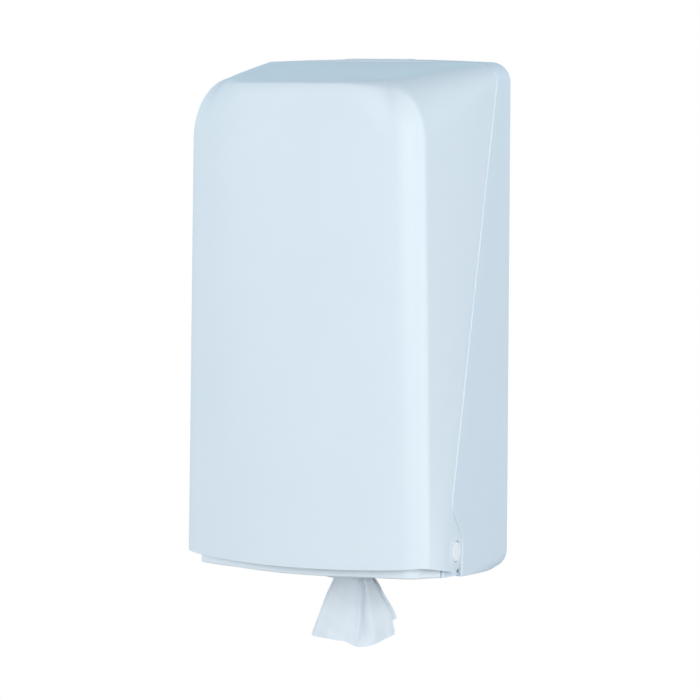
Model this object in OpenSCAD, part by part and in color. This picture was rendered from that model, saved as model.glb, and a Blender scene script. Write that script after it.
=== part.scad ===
// Wall-hung centrefeed dispenser for a paper roll. The wall is the plane y = 0, the front faces -y,
// and z = 0 is the middle of the wall fixings. Inside the modules heights start at the underside
// where it meets the wall, and depths are measured from the wall.

/* [Body] */
// Width across the side walls
body_w = 170; // [160:1:190]
// Height of the roof's corners above the underside
body_h = 332.6; // [315:0.2:350]
// Depth from the wall to the middle of the front, low down
body_d = 171.4; // [164:0.2:182]
// Thickness of the moulded walls
wall = 2.5; // [2.2:0.1:3]
// Rise of the roof's middle above its corners
top_crown = 1.7; // [1:0.1:4]
// Corner radius of the rear case seen from the front
rear_corner_r = 13; // [10:0.5:18]
// Slope of the underside up to the front, in degrees
under_deg = 8.1; // [7:0.1:9]
// Height of the middle of the wall fixings above the underside
fixing_z = 170; // [155:1:180]
// Distance between the wall holes across
fixing_w = 100; // [84:1:116]
// Distance between the wall holes up and down
fixing_h = 200; // [160:1:220]
// Radius of a wall hole
fixing_r = 2.75; // [2:0.05:3.5]

/* [Front cover] */
// Radius of the front's bow seen from above
bow_r = 146; // [135:1:220]
// Radius of the front's upright corners
front_corner_r = 26; // [22:0.5:30]
// Radius of the edge between front and top
brow_r = 10; // [7:0.5:14]
// Drop of the top from the rear case to the front edge
top_fall = 9.8; // [8:0.2:14]
// How far the front leans back at its top
front_lean = 4.4; // [2:0.2:7]
// Draw-in of each side at the front, low down
draw_low = 2.6; // [1:0.2:5]
// Draw-in of each side at the front, at the top
draw_top = 8.2; // [5:0.2:10]
// Depth of the rear case at its roof
case_roof_d = 23.6; // [22:0.2:28]
// Depth of the lower end of the straight seam
seam_low_d = 110; // [106:0.5:114]
// Height of the lower end of the straight seam
seam_low_z = 59; // [55:0.5:65]
// Radius of the turn at the lower end of the straight seam
seam_turn_r = 10; // [6:0.5:12]
// Gap between cover and case along the seam
seam_gap = 0.8; // [0.6:0.1:1.4]
// Height of the cover's lower edge along the front
skirt_z = 28.4; // [26:0.2:30]
// Depth where the lower edge begins to dip to the hinge
skirt_dip_d = 145; // [138:1:150]

/* [Hinge] */
// Depth of the hinge axis
pivot_d = 102.8; // [100:0.2:105]
// Height of the hinge axis
pivot_z = 31.2; // [30:0.2:34]
// Radius of the cover's ears
lobe_r = 13; // [12:0.2:14]
// Radius of a hinge pin
pin_r = 3.5; // [3:0.1:4]
// Radius of a hinge pin's head
pin_head_r = 6.3; // [5.8:0.1:7]
// Running clearance of a pin in its bush
pin_clear = 0.05; // [0.02:0.01:0.08]

/* [Tray and nozzle] */
// Gap between the tray and the inside of the cover
tray_gap = 6; // [3.6:0.1:7]
// Height of the tray's floor
tray_z = 32; // [31:0.5:34]
// Height of the chin's lower edge along the front
chin_z = 22.2; // [20:0.1:23.5]
// Depth of the outlet's axis
outlet_d = 70; // [66:0.5:74]
// Radius of the nozzle's barrel
nozzle_r = 35; // [32:0.5:37]
// Radius of the nozzle's mouth
mouth_r = 13.5; // [13:0.1:15]
// Number of teeth on the tear ring
tooth_count = 12; // [8:1:18]

/* [Latch] */
// Distance of each key slot from the middle
slot_x = 14.5; // [13.5:0.1:16]
// Width of a key slot
slot_w = 6; // [5:0.1:7]
// Travel of the latch bar
latch_travel = 5; // [4:0.1:5.4]
// Curls of the latch spring
spring_turns = 6; // [4:1:7]
// Wire radius of the latch spring
spring_wire = 0.45; // [0.35:0.05:0.5]

/* [Paper] */
// Radius of the roll
roll_r = 62; // [50:1:63]
// Height of the roll
roll_h = 205; // [150:1:210]
// Radius of the hollow middle
core_r = 20; // [18:0.5:26]
// Length of the tail below the nozzle
tail_len = 48; // [30:1:60]
// Half width of the tail's hem
hem_half_w = 26; // [20:0.5:28]
// Half thickness of the tail's hem
hem_half_t = 15; // [10:0.5:17]
// Folds round the tail
fold_count = 7; // [5:1:9]

/* [Hidden] */
$fn = 64;
eps = 0.05;
gap = 0.4;
half_w = body_w / 2;
roof_z = body_h + top_crown;
crown_x = half_w - rear_corner_r - 0.5;
crown_r = (crown_x * crown_x + top_crown * top_crown) / (2 * top_crown);
seam_slope = (seam_low_d - case_roof_d) / (body_h - seam_low_z);
front_top_z = body_h - top_fall;
roof_slope = (top_fall + top_crown) / (body_d - front_lean - brow_r - case_roof_d);
pivot = [pivot_d, pivot_z];
seam_low = [seam_low_d, seam_low_z];
seam_up = [-seam_slope, 1] / norm([seam_slope, 1]);
far = 2 * body_d;

// Hinge pieces, as distances from the middle
ear_in = half_w - 5.1;
recess_x = half_w - 2.1;
lug_out = ear_in - gap;
lug_in = lug_out - 6;
lug_r = 11;
web_out = half_w - wall - 1.5;
lug_front_d = pivot_d + lug_r;
lug_knee_d = pivot_d - 15;
lug_rear_d = pivot_d - 39;
clip_out = lug_in - 0.1;
clip_t = 1.4;
pin_in = clip_out - clip_t - 1;
pin_out = half_w + 1;
bush_r = pin_r + 1.5;

// Tray
tray_half = pin_in - 1;
tray_floor_t = 3;
tray_front_d = pivot_d + lobe_r;
chin_x = half_w - draw_low - wall - tray_gap;
cheek_d = max(tray_front_d + wall, corner_d(half_w - draw_low - front_corner_r));
ledge_in = 54;
post_x = half_w - 21;
post_depths = [20, 76];
post_screw_len = 10;
ring_r = nozzle_r + 12;
ring_screw_r = nozzle_r + 8.6;
flange_r = nozzle_r + 5;
flange_top = tray_z + 2.1;
roll_z = tray_z + 4.5;
mouth_z = 6.5;

// Latch, hung from the roof's middle
plate_z = roof_z - 1.5;
plate_w = 44;
plate_d = 12;
plate_t = 1.8;
slot_d = 13;
housing_rear_d = 3;
housing_d = 16;
bar_w = 38;
bar_d = 11;
bar_rear_d = 5.5;
lip_d = 2.5;
pad_top = plate_z - gap;
bar_top = roof_z - 20.7;
bar_low = bar_top - 12;
housing_floor = bar_low - latch_travel - 1;
catch_top = roof_z - 11.7;
catch_screw_d = 40;
latch_post_x = 29;
latch_post_z = bar_low + 3;
spring_d = 11;
spring_r = 3.6;
spring_low = housing_floor + eps;
spring_high = bar_low + 6 - eps;

// Height of the underside at a depth
function under(d) = d * tan(under_deg);

// Depth of the seam at a height
function seam_d(z) = case_roof_d + (body_h - z) * seam_slope;

// Depth of an upright corner's axis, so that the corner runs smoothly into the bow
function corner_d(x) = body_d - bow_r + sqrt(pow(bow_r - front_corner_r, 2) - x * x);

// Where a line from p touches a circle about c on its wall side
function touch_rear(p, c, r) =
    let (v = p - c, a = atan2(v[1], v[0]) + acos(r / norm(v)))
    c + r * [cos(a), sin(a)];

// Points that round the corner p between the directions u and v
function unit(v) = v / norm(v);
function turn_arc(p, u, v, r) =
    let (h = acos(u * v) / 2, bend = 180 - 2 * h, m = p + unit(u + v) * r / sin(h),
        a = p + u * r / tan(h) - m, b = p + v * r / tan(h) - m)
    [for (k = [0 : 8]) m + (a * sin(bend * (1 - k / 8)) + b * sin(bend * k / 8)) / sin(bend)];

// Puts a depth-height shape across the body
module across(w) {
    rotate([90, 0, -90]) linear_extrude(w, center = true) children();
}

// Puts a front-view shape back from a depth
module from_depth(d, length) {
    translate([0, -d, 0]) rotate([90, 0, 0]) linear_extrude(length) children();
}

// A round along x between two distances from the middle, on the hinge axis, on side s
module on_pivot(s, x0, x1, r, outer_r = 0) {
    translate([0, -pivot_d, pivot_z]) rotate([0, s * 90, 0]) translate([0, 0, x0])
        cylinder(r1 = r, r2 = outer_r > 0 ? outer_r : r, h = x1 - x0);
}

// Front view of the rear case, moved in by inset
module rear_outline(inset) {
    w = half_w - inset;
    r = rear_corner_r - inset;
    translate([-w, inset + r]) square([2 * w, body_h - 2 * inset - 2 * r]);
    translate([r - w, inset]) square([2 * (w - r), body_h - 2 * inset]);
    for (x = [r - w, w - r])
        for (z = [inset + r, body_h - inset - r])
            translate([x, z]) circle(r);
    intersection() {
        translate([0, roof_z - crown_r]) circle(crown_r - inset, $fn = 360);
        translate([r - w, body_h - 30]) square([2 * (w - r), 40]);
    }
}

// Outside of the closed body, moved in by inset
module body_form(inset) {
    thin = 0.2;
    low_x = half_w - draw_low - front_corner_r;
    top_x = half_w - draw_top - front_corner_r;
    corner_r = front_corner_r - inset;
    corner_top = front_top_z - front_corner_r;
    brow_x = top_x * 0.6;
    hull($fn = 32) {
        from_depth(0, case_roof_d) rear_outline(inset, $fn = 32);
        for (s = [-1, 1]) {
            on_pivot(s, half_w - inset - thin, half_w - inset, lobe_r, $fn = 32);
            translate([s * low_x, -corner_d(low_x), 0]) cylinder(r = corner_r, h = thin, $fn = 40);
            translate([s * top_x, front_lean - corner_d(top_x), corner_top]) sphere(corner_r, $fn = 40);
        }
        // Along the brow the edge radius grows from the middle to the corners
        for (s = [-1, 1], k = [0 : 6]) {
            x = top_x * k / 6;
            r = brow_r + (front_corner_r - brow_r) * pow(max(0, (x - brow_x) / (top_x - brow_x)), 2);
            depth = body_d - bow_r + sqrt(pow(bow_r - r, 2) - x * x);
            translate([s * x, -depth, 0]) cylinder(r = r - inset, h = thin, $fn = 32);
            translate([s * x, front_lean - depth, front_top_z - r]) sphere(r - inset, $fn = 32);
        }
    }
}

// Side view of all that belongs to the cover; the notch for the seam's turn is rounded
module cover_side() {
    top = body_h + 20;
    low = seam_low + [seam_gap, 0];
    ramp = unit(touch_rear(low, pivot, lobe_r) - low);
    polygon([[seam_d(top) + seam_gap, top], [far, top], [far, skirt_z], [skirt_dip_d, skirt_z], pivot, low]);
    polygon(concat([low - 5 * unit(ramp + seam_up)], turn_arc(low, ramp, seam_up, seam_turn_r + seam_gap)));
    hull() {
        translate(pivot) circle(lobe_r);
        polygon([low, [skirt_dip_d, skirt_z], [skirt_dip_d, seam_low_z]]);
    }
}

// Side view of all that belongs to the rear case; the seam's turn is rounded
module case_side() {
    top = body_h + 20;
    cut_r = lobe_r + seam_gap;
    touch = touch_rear(seam_low, pivot, cut_r);
    difference() {
        polygon(concat([[pivot_d, under(pivot_d)], [0, 0], [0, top], [seam_d(top), top]],
            turn_arc(seam_low, seam_up, unit(touch - seam_low), seam_turn_r), [touch, pivot]));
        translate(pivot) circle(cut_r);
        // Below the ear the edge drops straight, clear of the cover's swing
        translate([pivot_d - lobe_r, -10]) square([lobe_r + 1, pivot_z + 7]);
    }
}

// Side view of a hinge lug, which reaches forward inside the cover's ear
module lug_side() {
    front = lug_front_d;
    translate(pivot) circle(lug_r);
    polygon([[lug_rear_d, under(lug_rear_d)], [front, under(front)], [front, pivot_z],
        [pivot_d, pivot_z + lug_r], [lug_knee_d, pivot_z + 26], [lug_rear_d, pivot_z + 36]]);
}

module rear_case() color([0.86, 0.90, 0.93]) {
    reach = seam_low_d + 5;
    lip_t = 1.6;
    lip_gap = 1.8;
    lip_low = seam_low_z + 12;
    difference() {
        union() {
            difference() {
                intersection() {
                    from_depth(0, reach) rear_outline(0);
                    across(body_w + 2) case_side();
                }
                intersection() {
                    from_depth(wall, reach) rear_outline(wall);
                    across(body_w) polygon([[0, wall], [0, 2 * body_h], [far, 2 * body_h], [far, under(far) + wall]]);
                }
                translate([-ledge_in, -far, -eps]) cube([2 * ledge_in, far - 14, 30]);
            }
            // Lip that closes the seam from inside
            intersection() {
                from_depth(0, reach) difference() {
                    rear_outline(wall - 0.2);
                    rear_outline(wall + lip_gap + lip_t);
                }
                across(body_w) polygon([[seam_d(body_h + 9) - 6, body_h + 9], [seam_d(body_h + 9) - 2, body_h + 9],
                    [seam_d(lip_low) - 2, lip_low], [seam_d(lip_low) - 6, lip_low]]);
            }
            intersection() {
                from_depth(0, reach) difference() {
                    rear_outline(wall + lip_gap);
                    rear_outline(wall + lip_gap + lip_t);
                }
                across(body_w) polygon([[seam_d(body_h + 9) - 4, body_h + 9], [seam_d(body_h + 9) + 4, body_h + 9],
                    [seam_d(lip_low) + 4, lip_low], [seam_d(lip_low) - 4, lip_low]]);
            }
            // Hinge lugs and the blocks that carry them
            for (s = [-1, 1]) {
                translate([s * (lug_in + lug_out) / 2, 0, 0]) across(lug_out - lug_in) lug_side();
                translate([s * (lug_in + half_w - 1) / 2, 0, 0]) across(half_w - 1 - lug_in)
                    polygon([[lug_rear_d, under(lug_rear_d) + 0.2], [lug_knee_d, under(lug_knee_d) + 0.2],
                        [lug_knee_d, pivot_z + 20], [lug_rear_d, pivot_z + 32]]);
                // Web that closes the gap behind the cover's ear
                translate([s * (lug_out + web_out - eps) / 2, 0, 0]) across(web_out - lug_out + eps) difference() {
                    polygon([[lug_knee_d - 2, under(lug_knee_d - 2) + 0.2], [lug_front_d, under(lug_front_d) + 0.2],
                        [lug_front_d, pivot_z - lug_r - 0.5], [lug_knee_d - 2, pivot_z + 16]]);
                    translate(pivot) circle(bush_r + 4 + gap);
                }
            }
            // Pads round the wall holes, posts for the latch and ribs behind the roll
            for (s = [-1, 1]) {
                for (z = [-1, 1])
                    translate([s * fixing_w / 2, 0, fixing_z + z * fixing_h / 2])
                        rotate([90, 0, 0]) cylinder(r = 8, h = wall + 2);
                translate([s * latch_post_x, 0, latch_post_z]) rotate([90, 0, 0]) cylinder(r = 4, h = 8.5);
                translate([s * 38 - 1, -15, tray_z + 12]) cube([2, 15 - eps, body_h - 100]);
            }
        }
        for (s = [-1, 1]) {
            for (z = [-1, 1])
                translate([s * fixing_w / 2, 1, fixing_z + z * fixing_h / 2])
                    rotate([90, 0, 0]) cylinder(r = fixing_r, h = wall + 4);
            translate([s * latch_post_x, -wall, latch_post_z]) rotate([90, 0, 0]) cylinder(r = 1.3, h = 9);
            on_pivot(s, lug_in - 1, lug_out + 1, pin_r);
            for (d = post_depths) {
                translate([s * post_x, -d, -2]) cylinder(r = 1.8, h = under(d) + wall + 6);
                translate([s * post_x, -d, -2]) cylinder(r = 4, h = under(d) + 2.9);
            }
        }
        // Seat of the key plate in the roof
        translate([-plate_w / 2 - 0.15, -slot_d - plate_d / 2 - 0.15, plate_z])
            cube([plate_w + 0.3, plate_d + 0.3, 10]);
        translate([2 - plate_w / 2, 2 - slot_d - plate_d / 2, plate_z - 10]) cube([plate_w - 4, plate_d - 4, 20]);
    }
}

// Plan of the body's front, low down, moved in by inset
module front_plan(inset) {
    x = half_w - draw_low - front_corner_r;
    r = front_corner_r - inset;
    middle = bow_r - body_d;
    a = asin(x / (bow_r - front_corner_r));
    rear = (60 + middle) * tan(a);
    intersection() {
        translate([0, middle]) circle(bow_r - inset, $fn = 360);
        polygon([[-rear, -60], [rear, -60], [far * sin(a), middle - far * cos(a)],
            [-far * sin(a), middle - far * cos(a)]]);
    }
    for (s = [-1, 1]) translate([s * x, -corner_d(x)]) circle(r);
    translate([-x - r, -corner_d(x)]) square([2 * (x + r), corner_d(x) - 60]);
}

// Plan of the tray: narrow between the hinge lugs, full in front of them
module tray_plan(inset) {
    intersection() {
        front_plan(wall + tray_gap + inset);
        translate([-half_w, -far]) square([body_w, far - tray_front_d - inset]);
    }
    translate([-tray_half, -tray_front_d - 6]) square([2 * tray_half, tray_front_d]);
}

// Side view of the room above the chin's lower edge: level in front, then along the underside
module chin_side() {
    polygon([[0, 0], [chin_z / tan(under_deg), chin_z], [far, chin_z], [far, 2 * tray_z], [0, 2 * tray_z]]);
}

module roll_tray() color([0.80, 0.84, 0.88]) {
    difference() {
        union() {
            translate([0, 0, tray_z - tray_floor_t]) linear_extrude(tray_floor_t) tray_plan(0);
            // Chin that shows under the cover's edge
            intersection() {
                linear_extrude(tray_z - 1) difference() {
                    intersection() {
                        tray_plan(0);
                        translate([-half_w, -far]) square([body_w, far - tray_front_d]);
                    }
                    front_plan(2 * wall + tray_gap);
                }
                across(body_w) chin_side();
            }
            // Cheeks that carry the chin back to the hinge lugs
            intersection() {
                linear_extrude(tray_z - 1) for (s = [-1, 1]) polygon([[s * chin_x, -cheek_d],
                    [s * (lug_out - 0.3), -lug_front_d - 0.3], [s * (lug_out - 0.3 - wall), -lug_front_d - 0.3],
                    [s * (chin_x - wall), -cheek_d]]);
                across(body_w) chin_side();
            }
            // Posts that stand on the case's ledge
            intersection() {
                for (s = [-1, 1]) for (d = post_depths)
                    translate([s * post_x, -d, 0]) cylinder(r = 5, h = tray_z - 1);
                across(body_w) polygon([[0, wall + eps], [far, under(far) + wall + eps], [far, 2 * far], [0, 2 * far]]);
            }
            // Collar round the nozzle and ribs under the roll
            translate([0, -outlet_d, tray_z - 8]) cylinder(r = ring_r + 1.5, h = 7);
            for (a = [45 : 90 : 315]) translate([0, -outlet_d, tray_z - 1]) rotate(a)
                translate([ring_r + 2, -1, 0]) cube([9, 2, roll_z - tray_z + 1 - eps]);
        }
        translate([0, -outlet_d, 0]) cylinder(r = nozzle_r + gap, h = 60);
        for (a = [90, 210, 330]) translate([0, -outlet_d, 0]) rotate(a)
            translate([ring_screw_r, 0, 10]) cylinder(r = 1.3, h = 30);
        for (s = [-1, 1]) for (d = post_depths)
            translate([s * post_x, -d, -1]) cylinder(r = 1.5, h = under(d) + post_screw_len + 2);
    }
}

module tray_screws() color([0.72, 0.73, 0.75]) {
    for (s = [-1, 1]) for (d = post_depths) translate([s * post_x, -d, 0]) difference() {
        union() {
            translate([0, 0, under(d) - 1.3]) cylinder(r = 3.5, h = 2.15);
            translate([0, 0, under(d)]) cylinder(r = 1.5, h = post_screw_len);
        }
        for (a = [0, 90]) rotate(a) translate([-2, -0.4, under(d) - 2]) cube([4, 0.8, 1.7]);
    }
}

module hinge_pin(s) color([0.90, 0.93, 0.95]) {
    on_pivot(s, pin_in, recess_x + 0.2, pin_r);
    on_pivot(s, recess_x + 0.1, pin_out, pin_head_r);
}
module hinge_pin_left() hinge_pin(-1);
module hinge_pin_right() hinge_pin(1);

module hinge_clip(s) color([0.70, 0.72, 0.74]) {
    difference() {
        on_pivot(s, clip_out - clip_t, clip_out, pin_r + 3.2);
        on_pivot(s, clip_out - clip_t - 1, clip_out + 1, pin_r);
    }
}
module hinge_clip_left() hinge_clip(-1);
module hinge_clip_right() hinge_clip(1);

module hinge_bush(s) color([0.93, 0.93, 0.90]) {
    difference() {
        on_pivot(s, ear_in, recess_x, bush_r);
        on_pivot(s, ear_in - 1, recess_x + 1, pin_r + pin_clear);
    }
}
module hinge_bush_left() hinge_bush(-1);
module hinge_bush_right() hinge_bush(1);

module front_cover() color([0.87, 0.91, 0.94]) {
    boss_top = roof_z - wall + 1 - (catch_screw_d - case_roof_d) * roof_slope;
    difference() {
        union() {
            intersection() {
                difference() {
                    body_form(0);
                    body_form(wall);
                }
                across(body_w + 2) cover_side();
            }
            for (s = [-1, 1]) {
                on_pivot(s, ear_in, half_w - 1, bush_r + 4);
                on_pivot(s, half_w - 1, half_w + eps, lobe_r - 1.2);
                on_pivot(s, half_w, half_w + 0.9, lobe_r - 1.2, pin_head_r + 1.1);
                translate([s * 5.5, -catch_screw_d, catch_top + eps]) cylinder(r = 3.4, h = boss_top - catch_top);
            }
        }
        for (s = [-1, 1]) {
            on_pivot(s, ear_in - 1, half_w, bush_r);
            on_pivot(s, recess_x, half_w + 2, pin_head_r + gap);
            translate([s * 5.5, -catch_screw_d, catch_top - 1]) cylinder(r = 1.3, h = 7);
        }
    }
}

module nozzle_cone() color([0.62, 0.66, 0.70]) {
    translate([0, -outlet_d, 0]) rotate_extrude() polygon([[nozzle_r - 2, flange_top], [flange_r, flange_top],
        [flange_r, tray_z + 0.1], [nozzle_r, tray_z + 0.1], [nozzle_r, tray_z - 7], [mouth_r + 2, mouth_z],
        [mouth_r, mouth_z], [mouth_r, mouth_z + 1], [nozzle_r - 2, tray_z - 6]]);
}

module tear_ring() color([0.55, 0.58, 0.62]) {
    low = mouth_z - 2.6;
    rise = 2.55;
    root = mouth_r + 1.3;
    translate([0, -outlet_d, low]) {
        difference() {
            cylinder(r = mouth_r + 3, h = rise);
            translate([0, 0, -1]) cylinder(r = root, h = rise + 2);
        }
        for (i = [0 : tooth_count - 1]) rotate(i * 360 / tooth_count) linear_extrude(rise)
            polygon([[root + 0.6, -1.6], [root + 0.6, 1.6], [mouth_r - 0.3, 0]]);
    }
}

module nozzle_ring() color([0.80, 0.84, 0.88]) {
    lip = flange_top + 0.2;
    translate([0, -outlet_d, 0]) difference() {
        rotate_extrude() polygon([[flange_r + gap, tray_z + eps], [ring_r, tray_z + eps], [ring_r, roll_z - 0.6],
            [nozzle_r + 2, roll_z - 0.6], [nozzle_r + 2, lip], [flange_r + gap, lip]]);
        for (a = [90, 210, 330]) rotate(a) translate([ring_screw_r, 0, 0]) {
            cylinder(r = 1.5, h = 60);
            translate([0, 0, tray_z + 2]) cylinder(r = 2.7, h = 9);
        }
    }
}

module nozzle_ring_screws() color([0.72, 0.73, 0.75]) {
    translate([0, -outlet_d, 0]) for (a = [90, 210, 330]) rotate(a) translate([ring_screw_r, 0, 0]) difference() {
        union() {
            translate([0, 0, tray_z + 2.02]) cylinder(r = 2.4, h = 1.6);
            translate([0, 0, tray_z - 7.5]) cylinder(r = 1.3, h = 10);
        }
        for (b = [0, 90]) rotate(b) translate([-1.5, -0.3, tray_z + 2.8]) cube([3, 0.6, 2]);
    }
}

module paper_roll() color([0.95, 0.96, 0.97]) {
    translate([0, -outlet_d, roll_z]) difference() {
        cylinder(r = roll_r, h = roll_h);
        translate([0, 0, -1]) cylinder(r = core_r, h = roll_h + 2);
    }
}

// Half widths of the paper strand: from the roll's middle down through the mouth to the hem
function strand_z(k) = k < 5 ? mouth_z + [70, 45, 26, 12, 2][k] : mouth_z - 2 - (k - 5) * (tail_len - 2) / 9;
function below(k) = max(0, (k - 5) / 9);
function strand_half(k, hem) = k < 5
    ? [core_r - 0.1, core_r * 0.7, mouth_r - 0.6, mouth_r - 1.1, mouth_r - 1.2][k]
    : mouth_r - 1.2 + (hem - mouth_r + 1.2) * pow(below(k), 0.75);

// One point of the strand: the folds deepen to the hem, and the hem sags in front
function strand_point(k, a) =
    let (t = below(k), f = 1 + 0.17 * t * cos(fold_count * a + 20) - 0.02 * t,
        x = strand_half(k, hem_half_w) * f * cos(a), y = strand_half(k, hem_half_t) * f * sin(a))
    [x + 4 * t, y - outlet_d, strand_z(k) + t * t * (3 + 4 * sin(a))];

module paper_tail() color([0.93, 0.95, 0.97]) {
    n = 42;
    rows = 15;
    points = [for (k = [0 : rows - 1]) for (i = [0 : n - 1]) strand_point(k, i * 360 / n)];
    sides = [for (k = [0 : rows - 2]) for (i = [0 : n - 1])
        let (j = (i + 1) % n) each [[k * n + i, k * n + j, (k + 1) * n + i],
            [k * n + j, (k + 1) * n + j, (k + 1) * n + i]]];
    top = [[for (i = [0 : n - 1]) n - 1 - i]];
    last = len(points);
    middle = [4, -outlet_d, strand_z(rows - 1) + 5];
    hem = [for (i = [0 : n - 1]) [(rows - 1) * n + i, (rows - 1) * n + (i + 1) % n, last]];
    polyhedron(concat(points, [middle]), concat(sides, top, hem), convexity = 6);
}

module latch_housing() color([0.78, 0.82, 0.86]) {
    difference() {
        union() {
            translate([-bar_w / 2 - 3, -housing_rear_d - housing_d, housing_floor - 3])
                cube([bar_w + 6, housing_d, bar_top - housing_floor]);
            translate([-latch_post_x - 5, -10.6, latch_post_z - 5]) cube([2 * latch_post_x + 10, 2, 10]);
        }
        translate([-bar_w / 2 - gap, -bar_rear_d - bar_d - gap, housing_floor])
            cube([bar_w + 2 * gap, bar_d + 2 * gap, 60]);
        for (s = [-1, 1]) translate([s * latch_post_x, 0, latch_post_z])
            rotate([90, 0, 0]) cylinder(r = 1.6, h = 20);
    }
    translate([0, -spring_d, housing_floor - 1]) cylinder(r = 2.3, h = 5);
}

module latch_screws() color([0.72, 0.73, 0.75]) {
    for (s = [-1, 1]) translate([s * latch_post_x, 0, latch_post_z]) rotate([90, 0, 0]) difference() {
        union() {
            translate([0, 0, 4]) cylinder(r = 1.3, h = 8);
            translate([0, 0, 10.65]) cylinder(r = 3, h = 2);
        }
        for (a = [0, 90]) rotate(a) translate([-1.8, -0.35, 11.6]) cube([3.6, 0.7, 2]);
    }
}

module key_plate() color([0.84, 0.88, 0.92]) {
    difference() {
        translate([-plate_w / 2, -slot_d - plate_d / 2, plate_z]) cube([plate_w, plate_d, plate_t]);
        for (s = [-1, 1]) translate([s * slot_x - slot_w / 2, -slot_d - 2.5, plate_z - 1]) cube([slot_w, 5, 5]);
    }
}

module latch_bar() color([0.70, 0.74, 0.79]) {
    difference() {
        union() {
            translate([-bar_w / 2, -bar_rear_d - bar_d, bar_low]) cube([bar_w, bar_d, bar_top - bar_low]);
            translate([-8, -bar_rear_d - bar_d, bar_top - 1]) cube([16, lip_d, 5.5]);
            for (s = [-1, 1]) translate([s * slot_x - 4, -slot_d - 2.25, bar_top - 1])
                cube([8, 4.5, pad_top - bar_top + 1]);
        }
        translate([0, -spring_d, bar_low - 1]) cylinder(r = spring_r + 1, h = 7);
    }
}

// Centre line of the latch spring, eight points to a curl
function coil_point(i) = let (n = 8 * spring_turns, span = spring_high - spring_low - 2 * spring_wire)
    [spring_r * cos(i * 45), spring_r * sin(i * 45), spring_low + spring_wire + span * i / n];

module latch_spring() color([0.75, 0.76, 0.78]) {
    n = 8 * spring_turns + 1;
    m = 6;
    points = [for (i = [0 : n - 1]) let (c = coil_point(i), out = [cos(i * 45), sin(i * 45), 0])
        for (j = [0 : m - 1]) c + spring_wire * (cos(j * 60) * out + sin(j * 60) * [0, 0, 1])];
    sides = [for (i = [0 : n - 2]) for (j = [0 : m - 1]) let (k = (j + 1) % m)
        each [[i * m + j, (i + 1) * m + j, i * m + k], [i * m + k, (i + 1) * m + j, (i + 1) * m + k]]];
    ends = [[for (j = [0 : m - 1]) j], [for (j = [0 : m - 1]) n * m - 1 - j]];
    echo(latch_spring_least_gap = min([for (i = [0 : n - 9]) for (j = [i + 5 : min(i + 11, n - 1)])
        norm(coil_point(j) - coil_point(i))]) - 2 * spring_wire);
    translate([0, -spring_d, 0]) polyhedron(points, concat(sides, ends), convexity = 8);
}

module cover_catch() color([0.78, 0.82, 0.86]) {
    low = catch_top - 2.5;
    tip = low - 4.5;
    difference() {
        across(18) polygon([[9.5, catch_top], [48, catch_top], [48, low], [12, low], [12, tip], [11, tip],
            [9.5, tip + 1.5]]);
        for (s = [-1, 1]) translate([s * 5.5, -catch_screw_d, low - 5]) cylinder(r = 1.5, h = 20);
    }
}

module catch_screws() color([0.72, 0.73, 0.75]) {
    for (s = [-1, 1]) translate([s * 5.5, -catch_screw_d, catch_top]) difference() {
        union() {
            translate([0, 0, -4.4]) cylinder(r = 2.8, h = 1.85);
            translate([0, 0, -3]) cylinder(r = 1.3, h = 8);
        }
        for (a = [0, 90]) rotate(a) translate([-1.7, -0.35, -5]) cube([3.4, 0.7, 1.5]);
    }
}

translate([0, 0, -fixing_z]) {
    rear_case();
    roll_tray();
    tray_screws();
    hinge_pin_left();
    hinge_pin_right();
    hinge_clip_left();
    hinge_clip_right();
    latch_housing();
    latch_screws();
    key_plate();
    nozzle_ring();
    nozzle_ring_screws();
    paper_roll();
    paper_tail();
    latch_spring();
    front_cover();
    hinge_bush_left();
    hinge_bush_right();
    cover_catch();
    catch_screws();
    latch_bar();
    nozzle_cone();
    tear_ring();
}
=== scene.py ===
# Looks of the wall-hung centrefeed roll dispenser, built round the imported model.
# Sizes are in millimetres and depths are measured from the wall, as in the part's source.
import math

import bmesh
import bpy
import numpy as np
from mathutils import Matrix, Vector


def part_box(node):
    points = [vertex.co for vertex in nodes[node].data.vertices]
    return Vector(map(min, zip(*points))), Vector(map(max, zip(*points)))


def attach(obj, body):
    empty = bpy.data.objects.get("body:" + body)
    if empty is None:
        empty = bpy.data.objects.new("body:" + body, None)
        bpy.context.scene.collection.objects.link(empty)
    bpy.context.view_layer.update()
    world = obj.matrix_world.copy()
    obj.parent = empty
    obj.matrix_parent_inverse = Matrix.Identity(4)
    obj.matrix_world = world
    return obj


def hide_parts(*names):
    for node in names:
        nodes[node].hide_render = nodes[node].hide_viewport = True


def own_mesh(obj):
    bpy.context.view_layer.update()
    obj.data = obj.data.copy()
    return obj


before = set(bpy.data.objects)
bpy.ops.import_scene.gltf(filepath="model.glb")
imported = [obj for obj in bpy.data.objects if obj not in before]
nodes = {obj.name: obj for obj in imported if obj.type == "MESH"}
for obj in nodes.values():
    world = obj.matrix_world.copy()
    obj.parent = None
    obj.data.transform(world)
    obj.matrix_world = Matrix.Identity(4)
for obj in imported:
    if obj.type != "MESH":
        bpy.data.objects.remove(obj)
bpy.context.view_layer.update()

MM = 0.001
FIXING_Z = 170.0  # height of the wall fixings, the frame's origin, above the underside

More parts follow.
